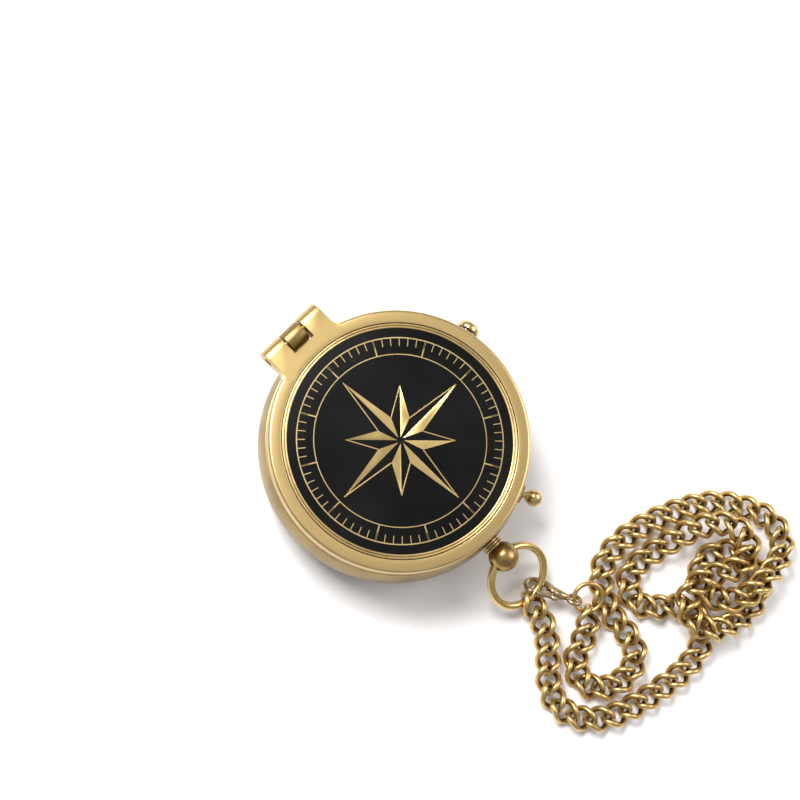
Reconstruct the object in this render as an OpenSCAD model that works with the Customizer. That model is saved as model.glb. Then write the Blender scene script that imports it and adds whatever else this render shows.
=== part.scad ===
// Pocket compass with a hinged lid, a bow and a curb chain with a lobster clasp.
// It lies on its back: +Z up, the origin is the middle of the flat back,
// the lid hinge is towards +Y and the bow and its chain are towards -Y.

/* [Case] */
// Thickness of the closed compass, back to lid top
total_h = 18; // [17:0.25:20]
// How far the barrel side swells out past the rim
case_bulge = 0.9; // [0.5:0.1:1.2]
// Thickness of the case wall at its rim
wall_t = 1.8; // [1.6:0.1:2]
// Thickness of the back
back_t = 1.6; // [1.2:0.1:2]
// Rounding between back and side
back_round = 4.5; // [3.5:0.25:5.5]

/* [Lid] */
// Radius of the lid
lid_r = 25; // [24.5:0.1:26]
// Thickness of the lid
lid_h = 3.7; // [3.5:0.1:4]
// Rounding of the lid's outer edge
lid_edge = 0.7; // [0.4:0.1:1]
// Width of the satin ring round the inlay
satin_w = 2.5; // [2.2:0.1:3]
// Visible width of the double-ridged bezel
bezel_w = 1; // [0.8:0.1:1.2]
// Thickness of the black inlay disc
inlay_t = 0.8; // [0.6:0.1:0.9]

/* [Hinge] */
// Distance of the hinge axis from the lid's edge
hinge_out = 2.9; // [2.8:0.1:3.4]
// Radius of the lid's hinge barrels
lug_r = 2.2; // [2.1:0.05:2.3]
// Width over both hinge lugs
lug_w = 13.8; // [12:0.2:16]
// Width of the slot between the lugs
slot_w = 4.8; // [4:0.2:6]
// Radius of the hinge pin
hinge_pin_r = 0.8; // [0.6:0.05:1]

/* [Side fittings] */
// Height of the buttons and the neck, as a share of the closed compass
fitting_share = 0.5; // [0.48:0.01:0.52]
// Angle of the ball knob, from the bow
knob_angle = 25.4; // [24:0.5:30]
// Radius of the knob's ball
knob_r = 1.65; // [1.4:0.05:1.8]
// Angle of the domed button, from the bow
dome_angle = 102; // [95:1:110]
// Radius of the domed button
dome_r = 2.28; // [2.2:0.02:2.5]
// Travel of either button
travel = 0.8; // [0.6:0.05:0.9]
// Radius of the buttons' stems
stem_r = 0.75; // [0.65:0.05:0.8]

/* [Bow] */
// Radius of the neck's ball
neck_ball_r = 2.9; // [2.8:0.05:3.1]
// Radius of the cross hole in the ball
neck_hole_r = 1.25; // [1.2:0.05:1.35]
// Radius of the bow, to the middle of its wire
bow_r = 6.2; // [6:0.1:6.4]
// Radius of the bow's wire
bow_wire_r = 0.775; // [0.7:0.025:0.8]
// Slope of the bow as it lies
bow_slope = 35; // [34:0.5:36]

/* [Compass] */
// Room between the dial housing and the case wall
housing_gap = 3.4; // [3.2:0.1:3.7]
// Wall of the dial housing
housing_t = 1; // [0.8:0.1:1.2]
// Thickness of the glass
glass_t = 1.2; // [1:0.1:1.3]
// Thickness of the dial
dial_t = 0.5; // [0.4:0.1:0.6]
// Length of the needle, as a share of the dial's width
needle_share = 0.82; // [0.7:0.01:0.86]
// Width of the needle at its middle
needle_w = 4.4; // [4:0.2:5]

/* [Chain] */
// Diameter of the link wire
link_wire = 1.15; // [1.05:0.05:1.2]
// Half the length of a link, to the middle of its wire
link_half_l = 2.8; // [2.75:0.05:2.85]
// Half the width of a link, to the middle of its wire
link_half_w = 2.1; // [2:0.05:2.1]
// Radius of the end ring, to the middle of its wire
ring_r = 2.9; // [2.8:0.05:3]
// Radius of the end ring's wire
ring_wire_r = 0.45; // [0.4:0.05:0.5]

/* [Hidden] */

// Clearances: between parts that are assembled, in running bores, and under the lid
seat = 0.05;
run_fit = 0.04;
lid_gap = 0.1;
// Overrun of every cut past the face that it opens
over = 1;
// Roundness of turned parts and of small ones
fine = 128;
small = 48;
arc_n = 8;

// Levels of the case and the lid
case_h = total_h - lid_h - lid_gap;
lid_z = case_h + lid_gap;
rim_step = 0.1;
rim_r = lid_r + rim_step;
belly_r = rim_r + case_bulge;
fitting_z = total_h * fitting_share;
belly_z = fitting_z;
hollow_r = rim_r - wall_t;
housing_r = hollow_r - housing_gap;
bezel_seat_w = 0.4;
bezel_t = 0.8;
bezel_z = case_h - bezel_t - rim_step;

// Radius of the barrel side at a height
function side_r(z) = belly_r - case_bulge * pow((z - belly_z) / (case_h - belly_z), 2);

// Lid levels: recess on top for the inlay, hollow underneath
recess_r = lid_r - satin_w;
recess_d = 1.1;
web_t = 1.2;
recess_z = total_h - recess_d;
web_z = recess_z - web_t;
lid_hollow_r = hollow_r - 6 * seat;
bezel_outer_r = recess_r - 2 * seat;
bezel_inner_r = bezel_outer_r - bezel_w;
inlay_r = bezel_outer_r - bezel_w / 2;

// Hinge
hinge_y = lid_r + hinge_out;
hinge_z = total_h - lug_r;
slot_run = 2.5;
knuckle_r = lug_r - 2 * seat;
knuckle_w = slot_w - 4 * seat;
knuckle_arm_t = 3;
lug_root = 1.5;
lug_fillet = 1.2;
hinge_pin_l = lug_w - lug_root / 2;

// Side fittings, measured outwards along their own radial axes
collar_r = 1.95;
collar_t = 0.6;
bush_r = 1.5;
collar_in = belly_r - 3 * seat;
collar_out = collar_in + collar_t;
bush_in = hollow_r - 6 * seat;
knob_y = collar_out + travel + knob_r;
knob_neck_r = 1.1;
dome_in = collar_out + travel + 2 * seat;
dome_l = 1.9;
dome_wall = 0.45;
dome_out = dome_in + dome_l;
spring_wire_r = 0.15;
spring_r = 1.25;
cone_spring_in = 1;
cone_spring_out = 1.7;
cone_wire_r = 0.1;
coil_n = 8;

// Catch plate on the knob's stem and the keeper that hangs from the lid
catch_t = 0.6;
catch_w = 3.6;
catch_gap = 1.1;
catch_r = housing_r + catch_gap;
catch_foot = 0.9;
nose_l = 0.6;
nose_t = 0.6;
nose_z = bezel_z - nose_t / 4;
catch_z = fitting_z - stem_r - catch_foot;
keeper_t = 0.35;
keeper_w = 3;
keeper_out = hollow_r - 8 * seat;
ledge_in = catch_r + catch_t + 2 * seat;
ledge_t = 0.6;

// Neck
neck_l = 3.7;
neck_y = belly_r + neck_l;
neck_ridge_r = 2.1;
neck_groove_r = 1.7;
neck_ridges = 3;
nut_r = 2.4;
nut_t = 1.3;
ball_lap = 4;

// Bow: its wire bends 2 * bow_play as it crosses the ball
bow_play = (bow_r - sqrt(pow(bow_r, 2) - pow(neck_ball_r, 2))) / 2;
bow_reach = bow_r - bow_play;

// Dial housing and what it holds, stacked between the back and the glass
shelf_w = 1.3;
glass_z = bezel_z - glass_t - seat;
inside_h = glass_z - back_t;
dial_share = 0.325;
needle_up_share = 0.641;
lifter_share = 0.134;
dial_z = back_t + dial_share * inside_h;
needle_z = back_t + needle_up_share * inside_h;
bezel_lip = 1.7;
dial_r = housing_r - housing_t - seat;
post_r = 0.9;
post_flange_r = 3;
post_flange_t = 0.8;
post_top_z = needle_z - post_r;
pivot_r = 0.45;
pivot_rise = 0.7;
pivot_tip_z = needle_z + pivot_rise;
pivot_cone_h = 0.6;
pivot_sunk = 2;
needle_t = 0.3;
needle_l = 2 * dial_r * needle_share;
hub_r = 1.3;
hub_flange_r = 1.9;
hub_flange_t = 0.3;
hub_h = 1.5;
hub_chamfer = 0.4;
jewel_r = 0.9;
jewel_t = 0.7;
jewel_cup_h = 0.22;
weight_r = 0.5;
weight_share = 0.27;

// Lifter: a bent lever under the dial, worked by the domed button's cone
lifter_t = 0.5;
lifter_w = 2.4;
lifter_pivot_in = 5.4;
lifter_pivot_r = housing_r - lifter_pivot_in;
lifter_pivot_z = back_t + lifter_share * inside_h;
lifter_pin_r = 0.4;
lifter_eye_r = 0.75;
lifter_arm_z = lifter_pivot_z + lifter_eye_r - 2 * seat;
collar_play = 0.35;
collar_bore_r = post_r + collar_play;
collar_wall = 0.45;
collar_tube_r = collar_bore_r + collar_wall;
collar_drop = 0.8;
collar_top_z = needle_z - hub_flange_t - collar_drop;
riser_in = 3.3;
riser_r = housing_r - riser_in;
riser_t = 0.6;
cone_l = 1.2;
cone_tip_r = 0.45;
cone_reach = 0.7;
cone_in = housing_r - housing_t - cone_reach;
tail_gap = 0.5;
tail_out = housing_r - housing_t - tail_gap;
tail_z = fitting_z - stem_r + seat;
bracket_t = 0.5;
bracket_l = 2.4;

// Chain: a link is an oval whose two ends are rolled apart about the chain's line
link_roll = 57;
link_rings = 12;
link_sides = 5;
link_pitch = 3.72;
level_h = 3.3;
strand_z = 1.74;
line_steps = 12;
// Points of the chain's line as it lies: x, y and how many strands it lies over
ROUTE = [[-1.1, -39.05, 0.14], [-1.3, -41.6, 0.2], [-2.3, -44.9, 0.08], [-4.5, -48.2, 0], [-7.6, -51.1, 0],
    [-10.6, -54.2, 0], [-12, -57.8, 0], [-11.2, -61.5, 0], [-8.8, -64.9, 0], [-5.2, -67.3, 0],
    [-1.2, -68.8, 0], [3, -69.9, 0], [7.2, -70.8, 0], [11.2, -71.3, 0], [15, -71.1, 0],
    [18.5, -69.6, 0], [20.6, -66.6, 0], [20.4, -63.1, 0], [18.2, -60.6, 0], [15.6, -58.9, 0],
    [13.7, -56.5, 0], [13.6, -53.5, 0], [15.4, -51.1, 0], [18.5, -50.2, 0], [22.4, -50.8, 0],
    [26.6, -51.8, 0.22], [30.3, -52.8, 0.75], [33.6, -54.2, 1], [36.6, -56.3, 1], [38.5, -59.3, 1],
    [38.3, -62.7, 1], [35.9, -65, 1], [32.5, -65.1, 1], [29.3, -63.2, 1.05], [26, -61.3, 1.05],
    [22.4, -60.9, 1], [19.4, -62.5, 1.05], [18.2, -65.6, 1.1], [19.2, -68.9, 1.1],
    [22, -71.2, 0.85], [25.6, -72.5, 0.3], [29, -72.9, 0], [32.4, -72.2, 0],
    [35, -70.2, 0], [36.2, -67, 0], [35.8, -63.5, 0], [33.6, -60.6, 0],
    [30.4, -59.3, 0], [27.2, -60.2, 0], [25.2, -62.7, 0.1], [25.1, -65.9, 0.45], [26.9, -68.6, 0.95],
    [30, -69.9, 1.35], [33.4, -70.2, 1.35], [36.6, -70.4, 1], [39.7, -70.4, 0.6], [42.4, -69.6, 0.28],
    [44.6, -67.6, 0.08], [45.5, -64.5, 0], [44.8, -61.2, 0], [43.3, -58.1, 0], [41.4, -55, 0],
    [38.8, -52.4, 0], [35.6, -50.3, 0], [32, -48.4, 0], [28.2, -46.8, 0], [24.4, -45.6, 0], [20.6, -44.9, 0],
    [16.6, -44.9, 0], [13.1, -46.1, 0], [10.3, -49.1, 0], [8.4, -53.1, 0], [8.1, -57.2, 0],
    [7.6, -60.6, 0], [5.6, -63, 0], [2.6, -63.9, 0], [-0.5, -63.5, 0], [-3, -62.4, 0],
    [-4.9, -60, 0], [-5.2, -57, 0], [-3.6, -54.4, 0], [-0.6, -53.2, 0], [3, -52, 0.14], [5.7, -49.5, 0.145]];

// Clasp, in its own plane: x runs from the tail eye to the hook, y towards the lever
clasp_reach = 7.7;
clasp_slack = 0.4;
clasp_lift = 0.25;
clasp_heading = 115;
clasp_pitch = 6.9;
clasp_roll = 45;
clasp_hook_r = 2.1;
clasp_hook_turn = 172;
clasp_hook_start = -95;
clasp_wire_r = 0.55;
clasp_eye_r = 1.2;
clasp_eye_wire_r = 0.45;
bow_hook_angle = 20;
clasp_rivet_r = 0.35;
clasp_rivet_l = 2.1;
clasp_slot_w = 0.9;
clasp_strip = [0.9, 0.15, 0.6];
lever_t = 0.75;
// Balls that the body is drawn round: x, y and radius, as shares of the clasp's reach
clasp_body_shares = [[0.21, 0, 0.09], [0.38, 0.01, 0.135], [0.58, -0.04, 0.14], [0.69, -0.2, 0.085]];
// Where the hook's arm starts, the lever's slot, its pivot and the strip spring
clasp_arm_share = [0.64, -0.235, 0.08];
clasp_slot_share = [0.4, -0.06, 0.58];
clasp_pivot_share = [0.54, 0.07];
clasp_strip_share = [0.415, -0.045];
// Outline of the lever from its pivot, and its tip
lever_tip_share = [0.94, 0.24];
lever_root_shares = [[0.05, 0.16], [-0.065, 0.21], [-0.14, 0.17], [-0.12, 0.065], [-0.07, -0.04],
    [0.065, -0.065]];
lever_tip_shares = [[-0.045, -0.07], [0.03, -0.045], [0.035, 0.03], [-0.115, 0.04]];
ring_heading = -37;
ring_tilt = 24;

// Turned about Z so that +X points along a fitting's radial axis
module along(angle) {
    rotate([0, 0, angle - 90]) children();
}

// A turned part on its fitting's axis: outline points are [radius, distance from the compass axis]
module turned(angle, outline) {
    along(angle) translate([0, 0, fitting_z]) rotate([90, 0, 90])
        rotate_extrude($fn = small) polygon(outline);
}

function arc(cx, cy, r, a0, a1, n = arc_n) =
    [for (i = [0:n]) let (a = a0 + (a1 - a0) * i / n) [cx + r * cos(a), cy + r * sin(a)]];

// A helical spring on the Z axis, from height 0 to its length; it may widen from one radius to another
module coil(r0, r1, wire_r, len, turns) {
    steps = turns * coil_n;
    sides = 6;
    ring = [for (i = [0:steps], j = [0:sides - 1])
        let (a = 360 * i / coil_n, b = 360 * j / sides,
            rr = r0 + (r1 - r0) * i / steps + wire_r * cos(b))
        [rr * cos(a), rr * sin(a), wire_r + (len - 2 * wire_r) * i / steps + wire_r * sin(b)]];
    walls = [for (i = [0:steps - 1], j = [0:sides - 1]) let (k = (j + 1) % sides)
        each [[i * sides + j, (i + 1) * sides + j, i * sides + k],
              [i * sides + k, (i + 1) * sides + j, (i + 1) * sides + k]]];
    caps = [for (j = [1:sides - 2]) each [[0, j, j + 1],
        [steps * sides, steps * sides + j + 1, steps * sides + j]]];
    polyhedron(ring, concat(walls, caps));
}

module case_profile() {
    polygon(concat([[0, 0]],
        arc(side_r(back_round) - back_round, back_round, back_round, -90, 0),
        [for (i = [1:arc_n]) let (z = back_round + (case_h - back_round) * i / arc_n) [side_r(z), z]],
        [[hollow_r + bezel_seat_w, case_h], [hollow_r + bezel_seat_w, bezel_z],
         [hollow_r, bezel_z], [hollow_r, back_t], [0, back_t]]));
}

module knuckle() {
    y0 = hollow_r + wall_t / 2;
    rotate([90, 0, 90]) linear_extrude(knuckle_w, center = true) {
        translate([hinge_y, hinge_z]) circle(knuckle_r, $fn = small);
        translate([y0, case_h - knuckle_arm_t - seat])
            square([hinge_y - y0, knuckle_arm_t]);
        translate([hinge_y - slot_run + 4 * seat, case_h - knuckle_arm_t - seat])
            square([slot_run - 4 * seat, hinge_z - case_h + knuckle_arm_t + seat]);
    }
}

module case_shell() {
    color([0.62, 0.50, 0.27]) difference() {
        union() {
            rotate_extrude($fn = fine) case_profile();
            knuckle();
        }
        translate([0, hinge_y, hinge_z]) rotate([0, 90, 0])
            cylinder(r = hinge_pin_r + run_fit / 2, h = lug_w, center = true, $fn = small);
        for (angle = [0, knob_angle, dome_angle])
            along(angle) translate([hollow_r - over, 0, fitting_z]) rotate([0, 90, 0]) {
                cylinder(r = bush_r + run_fit / 2, h = belly_r - hollow_r + 2 * over, $fn = small);
                translate([0, 0, collar_in - hollow_r + over])
                    cylinder(r = neck_ridge_r + seat, h = over, $fn = small);
            }
        translate([0, 0, back_t / 3])
            cylinder(r = post_r + run_fit / 2, h = back_t, $fn = small);
    }
}

module hinge_pin() {
    color([0.66, 0.53, 0.28]) translate([0, hinge_y, hinge_z]) rotate([0, 90, 0])
        cylinder(r = hinge_pin_r, h = hinge_pin_l, center = true, $fn = small);
}

// Satin ring with the recess for the inlay, and the two hinge lugs
module lid_frame() {
    color([0.66, 0.53, 0.28]) difference() {
        union() {
            rotate_extrude($fn = fine) polygon(concat(
                [[lid_hollow_r, lid_z], [lid_r, lid_z]],
                arc(lid_r - lid_edge, total_h - lid_edge, lid_edge, 0, 90),
                [[recess_r, total_h], [recess_r, recess_z], [0, recess_z],
                 [0, web_z], [lid_hollow_r, web_z]]));
            lugs();
        }
        translate([0, hinge_y, hinge_z]) rotate([0, 90, 0])
            cylinder(r = hinge_pin_r + run_fit, h = lug_w + 2 * over, center = true, $fn = small);
    }
}

module lugs() {
    y0 = lid_r - lug_root;
    difference() {
        union() {
            rotate([90, 0, 90]) linear_extrude(lug_w, center = true) {
                translate([hinge_y, hinge_z]) circle(lug_r, $fn = small);
                translate([y0, lid_z]) square([hinge_y - y0, total_h - lid_z]);
            }
            for (side = [-1, 1]) translate([0, 0, lid_z])
                linear_extrude(total_h - lid_z) scale([side, 1]) lug_fillet_2d();
        }
        translate([-slot_w / 2, hinge_y - slot_run, hinge_z - lug_r - over])
            cube([slot_w, slot_run + lug_r + over, 2 * lug_r + 2 * over]);
    }
}

// Hollow corner between a lug's side and the lid's edge
module lug_fillet_2d() {
    cx = lug_w / 2 + lug_fillet;
    cy = sqrt(pow(lid_r + lug_fillet, 2) - pow(cx, 2));
    touch = [cx, cy] * lid_r / (lid_r + lug_fillet);
    difference() {
        polygon([[lug_w / 2 - lug_root, cy], [cx, cy], touch, touch * (1 - lug_root / lid_r),
            [lug_w / 2 - lug_root, touch[1] - lug_root]]);
        translate([cx, cy]) circle(lug_fillet, $fn = small);
    }
}

module lid_inlay() {
    color([0.05, 0.05, 0.06]) translate([0, 0, recess_z])
        cylinder(r = inlay_r - seat, h = inlay_t, $fn = fine);
}

// Ring that holds the inlay, with two rounded ridges on top
module lid_bezel() {
    ridge_r = (bezel_outer_r - bezel_inner_r) / 4;
    lip_z = recess_z + inlay_t + seat / 2;
    top_z = total_h - ridge_r / 2;
    color([0.74, 0.61, 0.34]) rotate_extrude($fn = fine) polygon(concat(
        [[inlay_r, recess_z], [bezel_outer_r, recess_z]],
        arc(bezel_outer_r - ridge_r, top_z - ridge_r / 2, ridge_r, 0, 180, 6),
        arc(bezel_inner_r + ridge_r, top_z - ridge_r / 2, ridge_r, 0, 180, 6),
        [[bezel_inner_r, lip_z], [inlay_r, lip_z]]));
}

// Small hook under the lid that the catch holds
module lid_keeper() {
    bottom = nose_z - seat * 2 - ledge_t;
    color([0.66, 0.53, 0.28]) along(knob_angle) {
        translate([keeper_out - keeper_t, -keeper_w / 2, bottom])
            cube([keeper_t, keeper_w, web_z - bottom]);
        translate([ledge_in, -keeper_w / 2, bottom])
            cube([keeper_out - ledge_in, keeper_w, ledge_t]);
    }
}

module bush(angle, collar) {
    turned(angle, [[stem_r + run_fit, bush_in], [bush_r, bush_in], [bush_r, collar_in],
        [collar, collar_in], [collar, collar_out - seat], [collar - seat, collar_out],
        [stem_r + run_fit, collar_out]]);
}

module release_bush() {
    color([0.60, 0.47, 0.25]) bush(knob_angle, collar_r);
}

module brake_bush() {
    color([0.60, 0.47, 0.25]) bush(dome_angle, dome_r - dome_wall - 3 * seat);
}

// Stem, neck and ball turned in one piece
module release_knob() {
    color([0.70, 0.56, 0.30]) turned(knob_angle, concat(
        [[0, catch_r], [stem_r, catch_r], [stem_r, collar_out + travel + seat],
         [knob_neck_r, collar_out + travel + 2 * seat]],
        arc(0, knob_y, knob_r, -asin(sqrt(1 - pow(knob_neck_r / knob_r, 2))), 90, 14)));
}

module catch_plate() {
    color([0.60, 0.58, 0.55]) along(knob_angle) difference() {
        union() {
            translate([catch_r, -catch_w / 2, catch_z])
                cube([catch_t, catch_w, nose_z + nose_t - catch_z]);
            translate([catch_r, -keeper_w / 2, nose_z])
                cube([catch_t + nose_l, keeper_w, nose_t]);
        }
        translate([catch_r - over, 0, fitting_z]) rotate([0, 90, 0])
            cylinder(r = stem_r + run_fit / 4, h = catch_t + 2 * over, $fn = small);
    }
}

// Conical, so that its turns lie inside each other when the knob is pushed home
module release_spring() {
    color([0.55, 0.55, 0.56]) along(knob_angle)
        translate([housing_r + seat, 0, fitting_z]) rotate([0, 90, 0])
            coil(cone_spring_in, cone_spring_out, cone_wire_r, catch_r - housing_r - 2 * seat, 2.5);
}

// Stem with a cone at its inner end and a hollow dome outside
module brake_button() {
    inner_r = dome_r - dome_wall;
    cap_z = dome_out - dome_wall;
    bend = dome_l - dome_wall;
    color([0.70, 0.56, 0.30]) turned(dome_angle, concat(
        [[0, cone_in], [cone_tip_r, cone_in], [stem_r, cone_in + cone_l], [stem_r, cap_z],
         [inner_r - dome_wall, cap_z], [inner_r, cap_z - dome_wall], [inner_r, dome_in],
         [dome_r, dome_in]],
        [for (i = [0:arc_n]) let (a = 90 * i / arc_n)
            [dome_r * cos(a), dome_out - bend + bend * sin(a)]]));
}

module brake_spring() {
    color([0.55, 0.55, 0.56]) along(dome_angle)
        translate([collar_out + seat, 0, fitting_z]) rotate([0, 90, 0])
            coil(spring_r, spring_r, spring_wire_r, dome_out - dome_wall - collar_out - 2 * seat, 4);
}

// Ridged neck with the ball that carries the bow, and a spigot through the wall
module bow_neck() {
    ball_foot = acos(neck_groove_r / neck_ball_r);
    ridge_l = (neck_y - neck_ball_r * sin(ball_foot) - collar_in) / (2 * neck_ridges);
    color([0.60, 0.45, 0.24]) difference() {
        turned(0, concat([[0, hollow_r - nut_t - 4 * seat], [bush_r, hollow_r - nut_t - 4 * seat],
            [bush_r, collar_in]],
            [for (i = [0:neck_ridges - 1]) let (y = collar_in + 2 * i * ridge_l)
                each [[neck_ridge_r, y], [neck_ridge_r, y + ridge_l],
                      [neck_groove_r, y + ridge_l], [neck_groove_r, y + 2 * ridge_l]]],
            arc(0, neck_y, neck_ball_r, ball_lap - ball_foot, 90, 3 * arc_n)));
        translate([0, -neck_y, fitting_z]) rotate([0, 90, 0])
            cylinder(r = neck_hole_r, h = 2 * neck_ball_r + 2 * over, center = true, $fn = small);
    }
}

module neck_nut() {
    color([0.60, 0.47, 0.25]) along(0) translate([hollow_r - nut_t - 3 * seat, 0, fitting_z])
        rotate([0, 90, 0]) difference() {
            cylinder(r = nut_r, h = nut_t, $fn = 6);
            translate([0, 0, -over])
                cylinder(r = bush_r + run_fit / 2, h = nut_t + 2 * over, $fn = small);
        }
}

module dial_housing() {
    shelf_r = housing_r - housing_t - shelf_w;
    color([0.66, 0.53, 0.28]) difference() {
        rotate_extrude($fn = fine) polygon([[shelf_r, back_t], [housing_r, back_t],
            [housing_r, glass_z - seat], [housing_r - housing_t, glass_z - seat],
            [housing_r - housing_t, dial_z - seat], [shelf_r, dial_z - seat]]);
        along(dome_angle) translate([housing_r - housing_t - over, 0, fitting_z])
            rotate([0, 90, 0]) cylinder(r = stem_r + 2 * run_fit, h = 2 * over + housing_t, $fn = small);
    }
}

module dial() {
    color([0.93, 0.91, 0.84]) difference() {
        translate([0, 0, dial_z]) cylinder(r = dial_r, h = dial_t, $fn = fine);
        translate([0, 0, dial_z - over])
            cylinder(r = collar_tube_r + 6 * seat, h = dial_t + 2 * over, $fn = small);
        along(dome_angle) translate([riser_r - 4 * seat, -lifter_w / 2 - 2 * seat, dial_z - over])
            cube([riser_t + 12 * seat, lifter_w + 4 * seat, dial_t + 2 * over]);
    }
}

module pivot_post() {
    color([0.66, 0.53, 0.28]) difference() {
        union() {
            translate([0, 0, back_t]) cylinder(r = post_flange_r, h = post_flange_t, $fn = small);
            translate([0, 0, back_t / 2]) cylinder(r = post_r, h = post_top_z - back_t / 2, $fn = small);
        }
        translate([0, 0, post_top_z - pivot_sunk])
            cylinder(r = pivot_r + run_fit / 4, h = pivot_sunk + over, $fn = small);
    }
}

module pivot_pin() {
    color([0.70, 0.70, 0.72]) {
        rotate_extrude($fn = small) polygon([[0, post_top_z - pivot_sunk + seat],
            [pivot_r, post_top_z - pivot_sunk + seat], [pivot_r, pivot_tip_z - pivot_cone_h],
            [0, pivot_tip_z]]);
    }
}

module glass() {
    color([0.85, 0.92, 0.95, 0.35]) translate([0, 0, glass_z])
        cylinder(r = housing_r - 3 * seat, h = glass_t, $fn = fine);
}

// Ring that holds the glass down, cut open where the keeper comes through
module glass_bezel() {
    color([0.66, 0.53, 0.28]) difference() {
        rotate_extrude($fn = fine) polygon([[housing_r - bezel_lip, bezel_z],
            [hollow_r + bezel_seat_w - seat, bezel_z],
            [hollow_r + bezel_seat_w - seat, bezel_z + bezel_t],
            [housing_r - bezel_lip + bezel_t / 2, bezel_z + bezel_t],
            [housing_r - bezel_lip, bezel_z + bezel_t / 2]]);
        along(knob_angle) translate([catch_r - travel - 4 * seat, -catch_w / 2 - 4 * seat, bezel_z - over])
            cube([hollow_r - catch_r + travel, catch_w + 8 * seat, bezel_t + 2 * over]);
    }
}

// U-shaped bracket that holds the lifter's pin
module lifter_bracket() {
    color([0.66, 0.53, 0.28]) along(dome_angle) translate([lifter_pivot_r, 0, 0]) difference() {
        for (side = [-1, 1])
            translate([-bracket_l / 2,
                side * (lifter_w / 2 + bracket_t / 2 + 2 * seat) - bracket_t / 2, back_t])
                cube([bracket_l, bracket_t, lifter_pivot_z - back_t + lifter_eye_r]);
        translate([0, 0, lifter_pivot_z]) rotate([90, 0, 0])
            cylinder(r = lifter_pin_r + run_fit / 4, h = lifter_w + 4 * bracket_t,
                center = true, $fn = small);
    }
}

module lifter_pin() {
    color([0.60, 0.60, 0.62]) along(dome_angle) translate([lifter_pivot_r, 0, lifter_pivot_z])
        rotate([90, 0, 0])
            cylinder(r = lifter_pin_r, h = lifter_w + 2 * bracket_t + 4 * seat,
                center = true, $fn = small);
}

// Bent lever, seen from the side: arm, eye on the pin, riser, and tail under the cone
module lifter_side() {
    difference() {
        union() {
            polygon([[0, lifter_arm_z], [riser_r + riser_t, lifter_arm_z],
                [riser_r + riser_t, tail_z - lifter_t], [tail_out, tail_z - lifter_t], [tail_out, tail_z],
                [riser_r, tail_z], [riser_r, lifter_arm_z + lifter_t], [0, lifter_arm_z + lifter_t]]);
            translate([lifter_pivot_r, lifter_pivot_z]) circle(lifter_eye_r, $fn = small);
        }
        translate([lifter_pivot_r, lifter_pivot_z]) circle(lifter_pin_r + run_fit, $fn = small);
    }
}

// The lever ends in a collar round the needle's post
module lifter_arm() {
    foot_z = lifter_arm_z - 2 * seat;
    color([0.60, 0.60, 0.62]) difference() {
        union() {
            translate([0, 0, foot_z])
                cylinder(r = collar_tube_r, h = collar_top_z - foot_z, $fn = small);
            along(dome_angle) rotate([90, 0, 0]) linear_extrude(lifter_w, center = true) lifter_side();
        }
        translate([0, 0, foot_z - over])
            cylinder(r = collar_bore_r, h = collar_top_z - foot_z + 2 * over, $fn = small);
    }
}

module needle_blade() {
    waist = needle_w / 2;
    color([0.16, 0.22, 0.38]) translate([0, 0, needle_z]) linear_extrude(needle_t) difference() {
        polygon([[waist, 0], [0, needle_l / 2], [-waist, 0], [0, -needle_l / 2]]);
        circle(hub_r + seat / 2, $fn = small);
    }
}

module needle_hub() {
    z0 = needle_z - hub_flange_t;
    color([0.74, 0.61, 0.34]) rotate_extrude($fn = small) polygon([[jewel_r + seat / 2, z0],
        [hub_flange_r, z0], [hub_flange_r, needle_z - seat / 5], [hub_r, needle_z - seat / 5],
        [hub_r, needle_z + hub_h - hub_chamfer], [hub_r - hub_chamfer, needle_z + hub_h],
        [0, needle_z + hub_h], [0, pivot_tip_z + jewel_t + seat],
        [jewel_r + seat / 2, pivot_tip_z + jewel_t + seat]]);
}

module needle_jewel() {
    z0 = pivot_tip_z - jewel_cup_h / 2;
    color([0.55, 0.10, 0.16]) rotate_extrude($fn = small) polygon([[0, z0 + jewel_cup_h],
        [pivot_r, z0], [jewel_r, z0], [jewel_r, pivot_tip_z + jewel_t], [0, pivot_tip_z + jewel_t]]);
}

// Wire collar on the south arm that balances the dip
module needle_weight() {
    y = -needle_l * weight_share;
    half_w = needle_w / 2 * (1 + 2 * y / needle_l) + 4 * seat;
    color([0.74, 0.61, 0.34]) translate([-half_w, y - weight_r, needle_z - weight_r / 2]) difference() {
        cube([2 * half_w, 2 * weight_r, needle_t + weight_r]);
        translate([2 * seat, -over, weight_r / 2 - seat / 2])
            cube([2 * half_w - 4 * seat, 2 * weight_r + 2 * over, needle_t + seat]);
    }
}

// Places children in the bow's plane, origin at its middle, +X across and -Y to its far end
module bow_plane() {
    translate([0, -neck_y, fitting_z]) rotate([bow_slope, 0, 0]) translate([0, -bow_reach, 0]) children();
}

module bow() {
    color([0.70, 0.56, 0.26]) bow_plane() rotate_extrude($fn = 96)
        translate([bow_r, 0]) circle(bow_wire_r, $fn = 32);
}

// The chain's line: a smooth curve through the route's points
function spline(a, b, c, d, t) = (2 * b + (c - a) * t + (2 * a - 5 * b + 4 * c - d) * pow(t, 2)
    + (3 * b - a - 3 * c + d) * pow(t, 3)) / 2;
function at(i) = i < 0 ? 2 * ROUTE[0] - ROUTE[1]
    : i >= len(ROUTE) ? 2 * ROUTE[len(ROUTE) - 1] - ROUTE[len(ROUTE) - 2] : ROUTE[i];
flat_line = [for (i = [0:len(ROUTE) - 2], k = [0:line_steps - 1])
    spline(at(i - 1), at(i), at(i + 1), at(i + 2), k / line_steps)];
line = [for (p = concat(flat_line, [at(len(ROUTE) - 1)]))
    [p[0], p[1], strand_z + level_h * max(0, p[2])]];
gone = [for (i = 0, s = 0; i < len(line);
    s = s + (i + 1 < len(line) ? norm(line[i + 1] - line[i]) : 0), i = i + 1) s];
line_l = gone[len(gone) - 1];
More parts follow.
